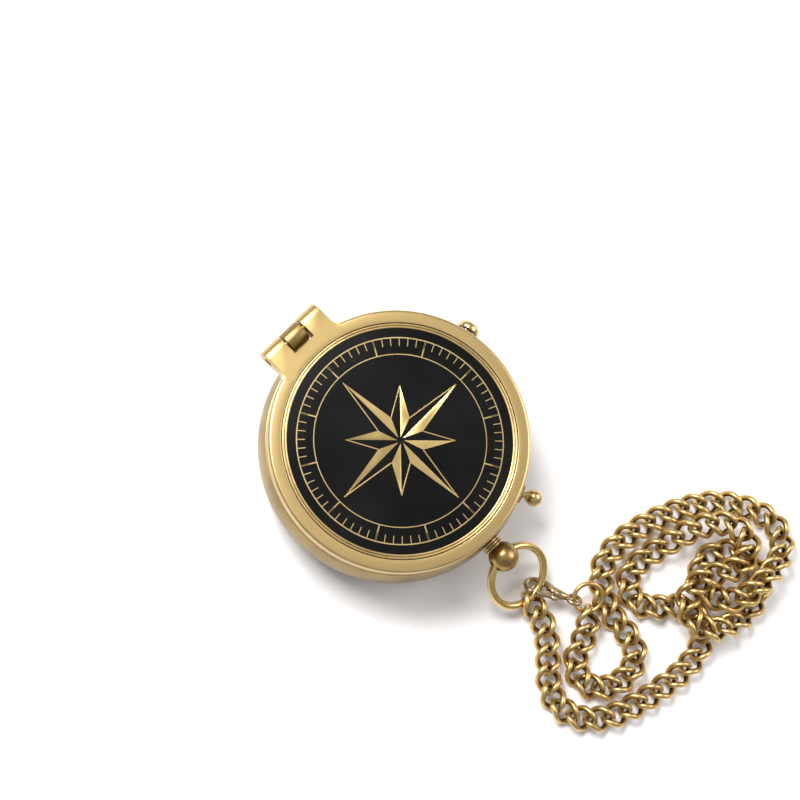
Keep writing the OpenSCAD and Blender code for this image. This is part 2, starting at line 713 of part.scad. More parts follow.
link_n = round(line_l / link_pitch);
tables = [for (k = [0:2]) [for (i = [0:len(line) - 1]) [gone[i], line[i][k]]]];
joints = [for (i = [0:link_n]) [for (k = [0:2]) lookup(line_l * i / link_n, tables[k])]];

function unit(v) = v / norm(v);

// Middle line of a link in its own frame: u goes once round, the ends roll from r0 to r1
function link_turn(u, r0, r1) = let (w = (1 + cos(u)) / 2) r0 + (r1 - r0) * w * w * (3 - 2 * w);
function link_point(u, r0, r1) = let (x = link_half_l * cos(u), y = link_half_w * sin(u),
    roll = link_turn(u, r0, r1)) [x, y * cos(roll), y * sin(roll)];

function link_ring(u, r0, r1) = let (
    p = link_point(u, r0, r1),
    t = unit(link_point(u + 1, r0, r1) - link_point(u - 1, r0, r1)),
    roll = link_turn(u, r0, r1),
    n = unit(cross(t, [0, -sin(roll), cos(roll)])),
    b = cross(n, t))
    [for (j = [0:link_sides - 1]) let (a = 360 * j / link_sides)
        p + link_wire / 2 * (n * cos(a) + b * sin(a))];

module link(i) {
    from = joints[i];
    to = joints[i + 1];
    t = unit(to - from);
    side = unit(cross([0, 0, 1], t));
    up = cross(t, side);
    r0 = i == 0 ? -90 : -link_roll;
    r1 = i == link_n - 1 ? 90 : link_roll;
    points = [for (k = [0:link_rings - 1], q = link_ring(360 * k / link_rings, r0, r1))
        (from + to) / 2 + q[0] * t + q[1] * side + q[2] * up];
    faces = [for (k = [0:link_rings - 1], j = [0:link_sides - 1])
        let (k2 = (k + 1) % link_rings, j2 = (j + 1) % link_sides, s = link_sides)
        each [[k * s + j, k * s + j2, k2 * s + j], [k * s + j2, k2 * s + j2, k2 * s + j]]];
    polyhedron(points, faces);
}

// A quarter of the links, counted from the bow
module chain_links(quarter) {
    first = ceil(link_n * (quarter - 1) / 4);
    last = ceil(link_n * quarter / 4) - 1;
    color([0.60, 0.46, 0.22]) for (i = [first:last]) link(i);
}

module chain_links_1() { chain_links(1); }
module chain_links_2() { chain_links(2); }
module chain_links_3() { chain_links(3); }
module chain_links_4() { chain_links(4); }

// Where the clasp hooks the bow, and the tail eye behind it; the bow's wire lies behind the hook's middle
hook_at = [bow_r * sin(bow_hook_angle),
    -neck_y - (bow_reach + bow_r * cos(bow_hook_angle)) * cos(bow_slope),
    fitting_z - (bow_reach + bow_r * cos(bow_hook_angle)) * sin(bow_slope)];
clasp_dir = [cos(clasp_heading) * cos(clasp_pitch), sin(clasp_heading) * cos(clasp_pitch), -sin(clasp_pitch)];
clasp_up = [sin(clasp_heading) * -cos(clasp_roll) + cos(clasp_heading) * sin(clasp_pitch) * sin(clasp_roll),
    cos(clasp_heading) * cos(clasp_roll) + sin(clasp_heading) * sin(clasp_pitch) * sin(clasp_roll),
    cos(clasp_pitch) * sin(clasp_roll)];
eye_at = hook_at - (clasp_reach - clasp_slack) * clasp_dir + clasp_lift * clasp_up;

module clasp_plane() {
    translate(eye_at) rotate([0, 0, clasp_heading]) rotate([0, clasp_pitch, 0])
        rotate([clasp_roll, 0, 0]) children();
}

clasp_pivot = clasp_reach * clasp_pivot_share;
lever_tip = clasp_reach * lever_tip_share;

module clasp_bore(r) {
    translate([clasp_pivot[0], clasp_pivot[1], 0])
        cylinder(r = r, h = clasp_rivet_l + 2 * over, center = true, $fn = small);
}

// Tail eye, hollow body, and the hook on its arm
module clasp_body() {
    arm = clasp_reach * clasp_arm_share;
    slot = clasp_reach * clasp_slot_share;
    color([0.50, 0.42, 0.28]) clasp_plane() difference() {
        union() {
            rotate_extrude($fn = small) translate([clasp_eye_r, 0])
                circle(clasp_eye_wire_r, $fn = 24);
            hull() for (ball = clasp_reach * clasp_body_shares)
                translate([ball[0], ball[1], 0]) sphere(ball[2], $fn = 24);
            translate([arm[0], arm[1], 0])
                rotate([0, 90, atan2(-clasp_hook_r - arm[1], clasp_reach - arm[0])])
                    cylinder(r1 = arm[2], r2 = clasp_wire_r - 2 * seat,
                        h = clasp_reach - arm[0] + seat, $fn = 24);
            translate([clasp_reach, 0, 0]) rotate([0, 0, clasp_hook_start])
                rotate_extrude(angle = clasp_hook_turn, $fn = small) translate([clasp_hook_r, 0])
                    circle(clasp_wire_r, $fn = 24);
        }
        translate([slot[0], slot[1], -clasp_slot_w / 2])
            cube([slot[2], clasp_reach / 2, clasp_slot_w]);
        clasp_bore(clasp_rivet_r + run_fit / 4);
    }
}

module clasp_rivet() {
    color([0.55, 0.46, 0.30]) clasp_plane() translate([clasp_pivot[0], clasp_pivot[1], 0])
        cylinder(r = clasp_rivet_r, h = clasp_rivet_l, center = true, $fn = small);
}

// Strip spring behind the lever
module clasp_spring() {
    at = clasp_reach * clasp_strip_share;
    color([0.60, 0.60, 0.60]) clasp_plane() translate([at[0], at[1], -clasp_strip[2] / 2])
        cube(clasp_strip);
}

// Gate of the clasp, with its thumb tab
module clasp_lever() {
    outline = concat([for (p = lever_tip_shares) lever_tip + clasp_reach * p],
        [for (p = lever_root_shares) clasp_pivot + clasp_reach * p]);
    color([0.55, 0.44, 0.26]) clasp_plane() difference() {
        linear_extrude(lever_t, center = true) polygon(outline);
        clasp_bore(clasp_rivet_r + run_fit);
    }
}

// The ring passes through the tail eye; it leans, one side near the table
module end_ring() {
    color([0.62, 0.50, 0.27]) translate(eye_at) rotate([0, 0, ring_heading])
        rotate([ring_tilt, 0, 0]) translate([ring_r, 0, 0])
            rotate_extrude($fn = 72) translate([ring_r, 0]) circle(ring_wire_r, $fn = 24);
}

case_shell();
hinge_pin();
bow_neck();
neck_nut();
release_bush();
release_spring();
brake_bush();
brake_spring();
dial_housing();
dial();
pivot_post();
pivot_pin();
glass();
glass_bezel();
lifter_bracket();
lifter_pin();
lid_frame();
lid_inlay();
lid_bezel();
lid_keeper();
release_knob();
catch_plate();
brake_button();
lifter_arm();
needle_blade();
needle_hub();
needle_jewel();
needle_weight();
bow();
chain_links_1();
chain_links_2();
chain_links_3();
chain_links_4();
end_ring();
clasp_body();
clasp_rivet();
clasp_spring();
clasp_lever();
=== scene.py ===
# %% [markdown]
# # A pocket compass with its bow, chain and clasp
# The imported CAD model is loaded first. It gives the sizes and places of all the pieces, and the
# dressed pieces below are made to the same measures. Lengths here are typed in millimetres, as on
# a drawing, and turned into metres when a mesh is made.

# %% Load the measured frame
import math
import bmesh
import bpy
import numpy as np
from mathutils import Matrix, Vector


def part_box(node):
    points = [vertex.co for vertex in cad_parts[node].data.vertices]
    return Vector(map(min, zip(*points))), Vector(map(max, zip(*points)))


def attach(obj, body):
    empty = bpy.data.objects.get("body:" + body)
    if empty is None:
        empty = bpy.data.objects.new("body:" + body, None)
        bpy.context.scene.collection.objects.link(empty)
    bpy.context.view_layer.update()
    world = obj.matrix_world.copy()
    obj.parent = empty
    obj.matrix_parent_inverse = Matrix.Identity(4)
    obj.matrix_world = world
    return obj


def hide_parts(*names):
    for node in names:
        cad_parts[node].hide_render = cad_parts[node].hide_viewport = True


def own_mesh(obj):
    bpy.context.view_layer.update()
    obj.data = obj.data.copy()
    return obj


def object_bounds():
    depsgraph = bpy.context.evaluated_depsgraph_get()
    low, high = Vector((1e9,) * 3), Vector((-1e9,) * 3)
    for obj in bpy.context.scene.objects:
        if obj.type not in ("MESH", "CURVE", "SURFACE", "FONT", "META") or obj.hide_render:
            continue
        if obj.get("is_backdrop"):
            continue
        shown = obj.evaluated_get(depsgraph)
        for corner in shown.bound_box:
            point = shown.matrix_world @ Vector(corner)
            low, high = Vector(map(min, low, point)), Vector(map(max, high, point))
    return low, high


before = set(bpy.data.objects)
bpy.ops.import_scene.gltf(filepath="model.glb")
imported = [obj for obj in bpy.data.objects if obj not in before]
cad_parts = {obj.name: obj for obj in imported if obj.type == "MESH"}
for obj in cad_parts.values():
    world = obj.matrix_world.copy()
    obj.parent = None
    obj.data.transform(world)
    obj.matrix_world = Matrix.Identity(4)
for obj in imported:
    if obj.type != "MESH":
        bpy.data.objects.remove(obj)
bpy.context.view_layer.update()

MM = 0.001

# %% [markdown]
# ## The view
# The compass is seen almost from above, with the hinge at the upper left and the bow at the lower
# right. The directions of the camera were worked out from the lid's rim, the hinge and the knobs.

# %% Place the camera
def add_object(name, data):
    """A new object in the scene, at the origin and unturned."""
    made = bpy.data.objects.new(name, data)
    bpy.context.scene.collection.objects.link(made)
    return made


camera_right = Vector((0.68742, -0.70905, 0.15718))
camera_up = Vector((0.68850, 0.70511, 0.16967))
camera_back = camera_right.cross(camera_up)
camera_turn = Matrix((camera_right, camera_up, camera_back)).transposed()
camera_place = Vector((-0.08144, 0.00225, 0.38321))
lens = bpy.data.cameras.new("camera")
lens.lens, lens.sensor_width = 90, 36
lens.clip_start = 0.01
camera = add_object("camera", lens)
camera.matrix_world = Matrix.LocRotScale(camera_place, camera_turn, None)
bpy.context.scene.camera = camera
print("camera looks along", [round(v, 3) for v in -camera_back])

# %% [markdown]
# ## Surfaces from grids of points
# Every new piece is one or more grids of points. Neighbouring points become four-sided faces, and
# a grid that wraps closes on itself, like a tube or a ring. Each point also carries two masks,
# how worn and how hollow the metal is there. The finishes rub the worn places bright and darken
# the hollow ones with dirt and painted shade.

# %% Grids and pieces
MERGE_WITHIN, CREASE = 1e-7, 32


def surface(points, wrap_rows, wrap_columns, worn=0.0, hollow=0.0):
    """Faces between the neighbours of a grid, or of a stack of grids, of points in millimetres.

    A grid that wraps joins its last row or column to its first one.
    """
    rows, columns = points.shape[-3:-1]
    numbers = np.arange(points[..., 0].size).reshape(-1, rows, columns)
    if wrap_rows:
        numbers = np.concatenate([numbers, numbers[:, :1]], axis=1)
    if wrap_columns:
        numbers = np.concatenate([numbers, numbers[:, :, :1]], axis=2)
    corners = [numbers[:, :-1, :-1], numbers[:, :-1, 1:], numbers[:, 1:, 1:], numbers[:, 1:, :-1]]
    masks = [np.broadcast_to(mask, points.shape[:-1]).ravel() for mask in (worn, hollow)]
    return [points.reshape(-1, 3), np.stack(corners, axis=-1).reshape(-1, 4), *masks]


def tidy_mesh(mesh, crease, outwards=True):
    """Merges the points that meet at poles and seams and shades the faces.

    The faces are turned outwards as well, unless they already are, as after a boolean.
    """
    shape = bmesh.new()
    shape.from_mesh(mesh)
    bmesh.ops.remove_doubles(shape, verts=shape.verts, dist=MERGE_WITHIN)
    if outwards:
        bmesh.ops.recalc_face_normals(shape, faces=shape.faces)
    shape.to_mesh(mesh)
    shape.free()
    mesh.shade_smooth()
    mesh.set_sharp_from_angle(angle=math.radians(crease))


def make_object(name, surfaces, crease=CREASE):
    """One mesh object from several surfaces, with the masks kept as attributes of its points."""
    starts = np.cumsum([0] + [len(part[0]) for part in surfaces[:-1]])
    points = np.concatenate([part[0] for part in surfaces]) * MM
    faces = np.concatenate([part[1] + start for part, start in zip(surfaces, starts)])
    mesh = bpy.data.meshes.new(name)
    mesh.from_pydata(points.tolist(), [], faces.tolist())
    for place, label in ((2, "worn"), (3, "hollow")):
        values = np.concatenate([part[place] for part in surfaces]).astype(np.float32)
        mesh.attributes.new(label, "FLOAT", "POINT").data.foreach_set("value", values)
    tidy_mesh(mesh, crease)
    return add_object(name, mesh)


def carve(target, surfaces, operation="DIFFERENCE", crease=CREASE):
    """Cuts a solid out of an object, or joins it on, and keeps the result as the object's mesh."""
    tool = make_object("carving_tool", surfaces)
    step = target.modifiers.new("carve", "BOOLEAN")
    step.operation, step.object, step.solver = operation, tool, "EXACT"
    graph = bpy.context.evaluated_depsgraph_get()
    carved = bpy.data.meshes.new_from_object(target.evaluated_get(graph))
    target.modifiers.clear()
    target.data = carved
    bpy.data.objects.remove(tool)
    tidy_mesh(carved, crease, outwards=False)


# %% [markdown]
# ## Outlines
# Turned brass is described by its outline, a line of points at a radius and a height. Real edges
# are never sharp: a small rounding catches the light. The bend of the outline also says where a
# thumb rubs the metal bright, and where the hollows get dirt and painted shade.

# %% Rounded outlines and their masks
def arc(across, up, radius, start, end, count=12):
    """Points on a circle round (across, up), from one angle in degrees to the other."""
    angle = np.radians(np.linspace(start, end, count))
    return np.stack([across + radius * np.cos(angle), up + radius * np.sin(angle)], axis=1)


def outline(*pieces):
    """One array from single points and arrays of points."""
    return np.concatenate([np.atleast_2d(np.asarray(piece, float)) for piece in pieces])


def rectangle(left, right, low, high):
    """Four corners, anticlockwise from the lower left."""
    return outline([left, low], [right, low], [right, high], [left, high])


def soften(points, radius, closed=True, steps=5):
    """Rounds each corner P along P + a (1 - t)^2 + b t^2, for t from 0 to 1.

    a and b point from the corner along its two edges. They are as long as the rounding, or 0.45
    of the edge if that is shorter. The ends of an open outline stay.
    """
    before, after = np.roll(points, 1, axis=0) - points, np.roll(points, -1, axis=0) - points
    far_a, far_b = (np.linalg.norm(v, axis=1, keepdims=True) for v in (before, after))
    a = before / far_a * np.minimum(radius, 0.45 * far_a)
    b = after / far_b * np.minimum(radius, 0.45 * far_b)
    t = np.linspace(0, 1, steps)[None, :, None]
    rounded = points[:, None] + a[:, None] * (1 - t) ** 2 + b[:, None] * t ** 2
    if closed:
        return rounded.reshape(-1, 2)
    return np.concatenate([points[:1], rounded[1:-1].reshape(-1, 2), points[-1:]])


SHORTEST_EDGE, MASK_STRENGTH = 0.02, 0.3


def way_round(points):
    """1 for an outline that runs anticlockwise and -1 for the other way: its area's sign."""
    x, y = points.T
    return np.sign((x * np.roll(y, -1) - y * np.roll(x, -1)).sum())


def bend_masks(points):
    """Worn and hollow masks: the angle between the two edges at a point over their mean length.

    A turn the same way round as the outline is outward, and any other turn is a hollow, which
    the finishes darken with dirt and painted shade.
    """
    before, after = points - np.roll(points, 1, axis=0), np.roll(points, -1, axis=0) - points
    turn = before[:, 0] * after[:, 1] - before[:, 1] * after[:, 0]
    angle = np.arctan2(turn, (before * after).sum(axis=1))
    length = (np.linalg.norm(before, axis=1) + np.linalg.norm(after, axis=1)) / 2 + SHORTEST_EDGE
    mask = MASK_STRENGTH * (way_round(points) * angle / length)
    return np.clip(mask, 0, 1), np.clip(-mask, 0, 1)


# %% [markdown]
# ## Turning, carrying and bending
# Three ways of making a surface do nearly all of the work here. A lathe turns an outline round an
# axis, a strip or plate is an outline carried straight on, and a wire is a circle carried along a
# path. Each one is a formula of two parameters, worked out for the whole grid at once.

# %% Lathe, plate and wire
LEVEL = np.eye(3)
CENTRE = np.zeros(3)


def turned(points, around=160, axes=LEVEL, origin=CENTRE):
    """A point at distance r and height h goes to origin + r cos(a) x + r sin(a) y + h z.

    An outline that starts and ends on the axis closes in two poles, and any other one wraps.
    """
    angle = np.linspace(0, 2 * np.pi, around, endpoint=False)[None, :, None]
    r, h = points[:, 0][:, None, None], points[:, 1][:, None, None]
    grid = origin + r * np.cos(angle) * axes[0] + r * np.sin(angle) * axes[1] + h * axes[2]
    worn, hollow = bend_masks(points)
    on_axis = abs(points[0, 0]) < 1e-6 and abs(points[-1, 0]) < 1e-6
    return surface(grid, not on_axis, True, worn[:, None], hollow[:, None])


def rod(radius, low, high, around, axes=LEVEL, origin=CENTRE, edge=0.0):
    """A round bar about the third axis, turned. Its rims are rounded where an edge is given."""
    section = rectangle(0, radius, low, high)
    if edge:
        section = soften(section, edge, closed=False)
    return turned(section, around, axes, origin)


def plate(points, low, high, edge, axes=LEVEL, origin=CENTRE, centre=None):
    """An outline in x and y carried along z from low to high, with rounded edges.

    At both faces it is drawn in along its own normals by edge (1 - cos b) while it goes edge
    (1 - sin b) further, for b from 0 to 90 degrees, and then it closes in its centre.
    """
    tangent = np.roll(points, -1, axis=0) - np.roll(points, 1, axis=0)
    normal = np.stack([-tangent[:, 1], tangent[:, 0]], axis=1) * way_round(points)
    normal /= np.linalg.norm(normal, axis=1, keepdims=True)
    b = np.radians(np.array([90, 60, 30, 0]))
    inset, rise = edge * (1 - np.cos(b)), edge * (1 - np.sin(b))
    inset = np.concatenate([inset, inset[::-1]])
    height = np.concatenate([low + rise, high - rise[::-1]])
    middle = points.mean(axis=0) if centre is None else np.asarray(centre, float)
    rows = points[None] + inset[:, None, None] * normal[None]
    caps = np.broadcast_to(middle, (1,) + points.shape)
    rows = np.concatenate([caps, rows, caps])
    height = np.concatenate([[low], height, [high]])[:, None, None]
    grid = origin + rows[..., :1] * axes[0] + rows[..., 1:] * axes[1] + height * axes[2]
    worn = np.array([0, 0.3, 1, 1, 0.3, 0.3, 1, 1, 0.3, 0])[:, None]
    return surface(grid, False, True, worn, 0.0)


def wire(path, radii, up, sides=16, closed=False):
    """A circle carried along a path: P + radius (cos a * n + sin a * m), where t is the way on,
    n is up made square to t, and m is t x n. A radius of 0 at an end closes the wire there.
    """
    ahead = np.roll(path, -1, axis=0) - np.roll(path, 1, axis=0)
    if not closed:
        ahead[0], ahead[-1] = path[1] - path[0], path[-1] - path[-2]
    t = ahead / np.linalg.norm(ahead, axis=1, keepdims=True)
    n = up - (t * up).sum(axis=1, keepdims=True) * t
    n /= np.linalg.norm(n, axis=1, keepdims=True)
    m = np.cross(t, n)
    angle = np.linspace(0, 2 * np.pi, sides, endpoint=False)[None, :, None]
    around = np.cos(angle) * n[:, None] + np.sin(angle) * m[:, None]
    grid = path[:, None] + np.asarray(radii, float).reshape(-1, 1, 1) * around
    return surface(grid, closed, True, 0.35, 0.0)


def hoop(radius, thickness, axes, origin, around=120, sides=24):
    """A ring of round wire: (radius + thickness cos b) at the angle a, thickness sin b high."""
    b = np.linspace(0, 2 * np.pi, sides, endpoint=False)
    section = np.stack([radius + thickness * np.cos(b), thickness * np.sin(b)], axis=1)
    part = turned(section, around, axes, origin)
    part[2], part[3] = part[2] * 0 + 0.4, part[3] * 0
    return part


def tilt(axis, degrees):
    """The turning matrix about x, y or z, whose columns are where the axes go."""
    return np.array(Matrix.Rotation(math.radians(degrees), 3, axis))


# %% [markdown]
# ## The chain's line
# The chain hangs from the bow, lies down flat and runs on in one long line that crosses over
# itself. The points are those of the CAD source: x, y and how many strands lie below. A
# Catmull-Rom curve runs through them all, and joints at equal distances share it into links.

# %% Run a smooth line through the route
ROUTE = np.array([
    [-1.1, -39.05, 0.14], [-1.3, -41.6, 0.2], [-2.3, -44.9, 0.08], [-4.5, -48.2, 0],
    [-7.6, -51.1, 0], [-10.6, -54.2, 0], [-12, -57.8, 0], [-11.2, -61.5, 0], [-8.8, -64.9, 0],
    [-5.2, -67.3, 0], [-1.2, -68.8, 0], [3, -69.9, 0], [7.2, -70.8, 0], [11.2, -71.3, 0],
    [15, -71.1, 0], [18.5, -69.6, 0], [20.6, -66.6, 0], [20.4, -63.1, 0], [18.2, -60.6, 0],
    [15.6, -58.9, 0], [13.7, -56.5, 0], [13.6, -53.5, 0], [15.4, -51.1, 0], [18.5, -50.2, 0],
    [22.4, -50.8, 0], [26.6, -51.8, 0.22], [30.3, -52.8, 0.75], [33.6, -54.2, 1],
    [36.6, -56.3, 1], [38.5, -59.3, 1], [38.3, -62.7, 1], [35.9, -65, 1], [32.5, -65.1, 1],
    [29.3, -63.2, 1.05], [26, -61.3, 1.05], [22.4, -60.9, 1], [19.4, -62.5, 1.05],
    [18.2, -65.6, 1.1], [19.2, -68.9, 1.1], [22, -71.2, 0.85], [25.6, -72.5, 0.3], [29, -72.9, 0],
    [32.4, -72.2, 0], [35, -70.2, 0], [36.2, -67, 0], [35.8, -63.5, 0], [33.6, -60.6, 0],
    [30.4, -59.3, 0], [27.2, -60.2, 0], [25.2, -62.7, 0.1], [25.1, -65.9, 0.45],
    [26.9, -68.6, 0.95], [30, -69.9, 1.35], [33.4, -70.2, 1.35], [36.6, -70.4, 1],
    [39.7, -70.4, 0.6], [42.4, -69.6, 0.28], [44.6, -67.6, 0.08], [45.5, -64.5, 0],
    [44.8, -61.2, 0], [43.3, -58.1, 0], [41.4, -55, 0], [38.8, -52.4, 0], [35.6, -50.3, 0],
    [32, -48.4, 0], [28.2, -46.8, 0], [24.4, -45.6, 0], [20.6, -44.9, 0], [16.6, -44.9, 0],
    [13.1, -46.1, 0], [10.3, -49.1, 0], [8.4, -53.1, 0], [8.1, -57.2, 0], [7.6, -60.6, 0],
    [5.6, -63, 0], [2.6, -63.9, 0], [-0.5, -63.5, 0], [-3, -62.4, 0], [-4.9, -60, 0],
    [-5.2, -57, 0], [-3.6, -54.4, 0], [-0.6, -53.2, 0], [3, -52, 0.14], [5.7, -49.5, 0.145]])
STRAND_HEIGHT, LEVEL_HEIGHT, LINK_PITCH = 1.74, 3.3, 3.72


def smooth_line(points, steps):
    """Catmull-Rom: between b and c the curve is (2b + (c - a) t + (2a - 5b + 4c - d) t^2
    + (3b - a - 3c + d) t^3) / 2, where a and d are the points before b and after c."""
    ends = np.vstack([2 * points[0] - points[1], points, 2 * points[-1] - points[-2]])
    a, b, c, d = (ends[k:len(points) - 1 + k][:, None] for k in range(4))
    t = (np.arange(steps) / steps)[None, :, None]
    curve = (2 * b + (c - a) * t + (2 * a - 5 * b + 4 * c - d) * t ** 2
             + (3 * b - a - 3 * c + d) * t ** 3) / 2
    return np.vstack([curve.reshape(-1, points.shape[1]), points[-1:]])


chain_line = smooth_line(ROUTE, 12)
chain_line[:, 2] = STRAND_HEIGHT + LEVEL_HEIGHT * np.maximum(chain_line[:, 2], 0)
gone = np.concatenate([[0], np.cumsum(np.linalg.norm(np.diff(chain_line, axis=0), axis=1))])
link_count = int(round(gone[-1] / LINK_PITCH))
joint_at = np.linspace(0, gone[-1], link_count + 1)
joints = np.stack([np.interp(joint_at, gone, chain_line[:, k]) for k in range(3)], axis=1)
print(link_count, "links on a line of", round(gone[-1], 1), "mm")

# %% [markdown]
# ## Curb links
# A curb link is an oval of wire whose two ends are twisted apart, so that the chain lies flat
# although each link passes through the next. Here the roll eases from one end to the other, which
# leaves both ends straight, and all links and all their points are worked out in one go.

# %% Bend all links at once
LINK_WIRE, LINK_HALF_LENGTH, LINK_HALF_WIDTH, LINK_ROLL = 1.15, 2.8, 2.1, 57
LINK_STEPS, LINK_SIDES = 30, 10


def link_path(u, first_roll, last_roll):
    """The wire's middle line in the link's frame, at the angle u.

    x = half length * cos u and y = half width * sin u, and y is rolled about x by an angle that
    eases from the first roll to the last as w^2 (3 - 2w), with w = (1 + cos u) / 2.
    """
    w = (1 + np.cos(u)) / 2
    roll = first_roll + (last_roll - first_roll) * w * w * (3 - 2 * w)
    y = LINK_HALF_WIDTH * np.sin(u)
    x = LINK_HALF_LENGTH * np.cos(u) + 0 * roll
    path = np.stack([x, y * np.cos(roll), y * np.sin(roll)], axis=-1)
    return path, np.stack([0 * roll, -np.sin(roll), np.cos(roll)], axis=-1)


def unit(vectors):
    """Each vector over its own length."""
    return vectors / np.linalg.norm(vectors, axis=-1, keepdims=True)


ahead = unit(np.diff(joints, axis=0))
sideways = unit(np.cross([0, 0, 1], ahead))
upwards = np.cross(ahead, sideways)
first_roll, last_roll = (np.full((link_count, 1), np.radians(s * LINK_ROLL)) for s in (-1, 1))
first_roll[0], last_roll[-1] = np.radians(-90), np.radians(90)
turn = np.linspace(0, 2 * np.pi, LINK_STEPS, endpoint=False)[None, :]
middle, flat_side = link_path(turn, first_roll, last_roll)
behind, beyond = (link_path(turn + s * 0.02, first_roll, last_roll)[0] for s in (-1, 1))
along = unit(beyond - behind)
across = unit(np.cross(along, flat_side))
angle = np.linspace(0, 2 * np.pi, LINK_SIDES, endpoint=False)[None, None, :, None]
skin = np.cos(angle) * across[:, :, None] + np.sin(angle) * np.cross(across, along)[:, :, None]
local = middle[:, :, None] + LINK_WIRE / 2 * skin
centre = ((joints[1:] + joints[:-1]) / 2)[:, None, None]
link_grid = centre + sum(local[..., k:k + 1] * v[:, None, None]
                         for k, v in enumerate((ahead, sideways, upwards)))
# The inner side of each link's wire is marked hollow and darkened with dirt and painted shade, and
# its outer side is marked worn.
inward = -(skin * unit(middle)[:, :, None]).sum(axis=-1)
links = surface(link_grid, True, True, np.clip(0.25 - inward, 0, 1), np.clip(inward, 0, 1))
chain = make_object("chain", [links], crease=60)
print("chain:", len(chain.data.polygons), "faces, lowest point",
      round(float(link_grid[..., 2].min()), 3), "mm")

# %% [markdown]
# ## Where the bow, the clasp and the end ring are
# The bow leans down from the ball of the neck. The clasp's hook holds the bow's far side, its
# tail eye holds the end ring, and the end ring holds the last link. Each has its own frame of
# three axes, as in the CAD source, so that it can be drawn flat.

# %% Frames of the loose pieces
NECK_Y, FITTING_Z = 29.7, 9.0
BOW_RADIUS, BOW_WIRE, BOW_SLOPE = 6.2, 0.775, 35
BALL_RADIUS = 2.9
bow_reach = BOW_RADIUS - (BOW_RADIUS - math.sqrt(BOW_RADIUS ** 2 - BALL_RADIUS ** 2)) / 2
bow_axes = tilt("X", BOW_SLOPE).T
ball_centre = np.array([0, -NECK_Y, FITTING_Z])
bow_centre = ball_centre - bow_reach * bow_axes[1]

CLASP_REACH = 7.7
clasp_axes = (tilt("Z", 115) @ tilt("Y", 6.9) @ tilt("X", 45)).T
hook_angle = math.radians(20)
hook_point = bow_centre + BOW_RADIUS * (math.sin(hook_angle) * bow_axes[0]
                                        - math.cos(hook_angle) * bow_axes[1])
eye_point = hook_point - (CLASP_REACH - 0.4) * clasp_axes[0] + 0.25 * clasp_axes[1]
ring_axes = (tilt("Z", -37) @ tilt("X", 24)).T
RING_RADIUS, RING_WIRE = 2.9, 0.45
ring_centre = eye_point + RING_RADIUS * ring_axes[0]
print("clasp eye at", np.round(eye_point, 2), "ring centre at", np.round(ring_centre, 2))

# %% [markdown]
# ## The bow and the end ring
# Both are bent from round wire. The bow's ends meet inside the hole through the ball. A ring of
# round wire is a circle carried round another circle.

# %% Bow and ring
bow = make_object("bow_wire", [hoop(BOW_RADIUS, BOW_WIRE, bow_axes, bow_centre, 160, 28)])
ring = make_object("end_ring_wire", [hoop(RING_RADIUS, RING_WIRE, ring_axes, ring_centre, 120, 20)])
print("bow", 2 * (BOW_RADIUS + BOW_WIRE), "mm across, end ring", 2 * (RING_RADIUS + RING_WIRE))

# %% [markdown]
# ## The lobster clasp
# A lobster clasp is one casting: an eye at the tail, a swelling hollow body, and a hook that
# curves round to meet the sprung lever. The body and the hook are one wire whose thickness
# changes along its path. The slot for the lever and the hole for the rivet are cut afterwards.

# %% Clasp body
CAST_CREASE, HOOK_R, HOOK_WIRE = 50, 2.1, 0.55
EYE_R, EYE_WIRE, RIVET_R, RIVET_HOLE, LEVER_HOLE = 1.2, 0.45, 0.35, 0.36, 0.39
hook_arc = np.radians(np.array([-80, -62, -44, -26, -8, 10, 28, 46, 62, 77]))
body_shape = np.array([[EYE_R, 0.0, 0.42], [1.65, 0.0, 0.68], [2.3, 0.05, 0.9], [3.0, 0.08, 1.03],
    [3.8, -0.05, 1.08], [4.5, -0.42, 1.04], [5.05, -1.05, 0.84], [5.6, -1.62, 0.66],
    [6.4, -1.92, 0.58], [7.3, -2.07, HOOK_WIRE]])
hook_shape = np.stack([CLASP_REACH + HOOK_R * np.cos(hook_arc), HOOK_R * np.sin(hook_arc),
                       np.full(len(hook_arc), HOOK_WIRE)], axis=1)
clasp_shape = smooth_line(np.vstack([body_shape, hook_shape]), 6)
ends = np.concatenate([np.sqrt(1 - (1 - np.linspace(0, 1, 5)) ** 2),
                       np.ones(len(clasp_shape) - 11),
                       np.sqrt(1 - np.linspace(0, 0.999, 6) ** 2)])
clasp_radii = clasp_shape[:, 2] * ends
clasp_radii[[0, -1]] = 0
clasp_path = eye_point + clasp_shape[:, :1] * clasp_axes[0] + clasp_shape[:, 1:2] * clasp_axes[1]
clasp = make_object("clasp_casting", [wire(clasp_path, clasp_radii, clasp_axes[2], 28)],
                    crease=CAST_CREASE)
carve(clasp, [hoop(EYE_R, EYE_WIRE, clasp_axes, eye_point, 64, 20)], "UNION", crease=CAST_CREASE)
slot = rectangle(3.08, 7.55, -0.46, 3.4)
carve(clasp, [plate(slot, -0.45, 0.45, 0.02, clasp_axes, eye_point)], crease=CAST_CREASE)
pivot = CLASP_REACH * np.array([0.54, 0.07])
pivot_point = eye_point + pivot[0] * clasp_axes[0] + pivot[1] * clasp_axes[1]
carve(clasp, [rod(RIVET_HOLE, -2, 2, 32, clasp_axes, pivot_point)], crease=CAST_CREASE)
print("clasp casting:", len(clasp.data.polygons), "faces")

# %% [markdown]
# ## The lever
# The lever is a stamped and rounded strip. It turns on the rivet, closes against the tip of the
# hook and has a thumb tab beside the pivot. An outline with rounded corners is carried through
# its thickness.

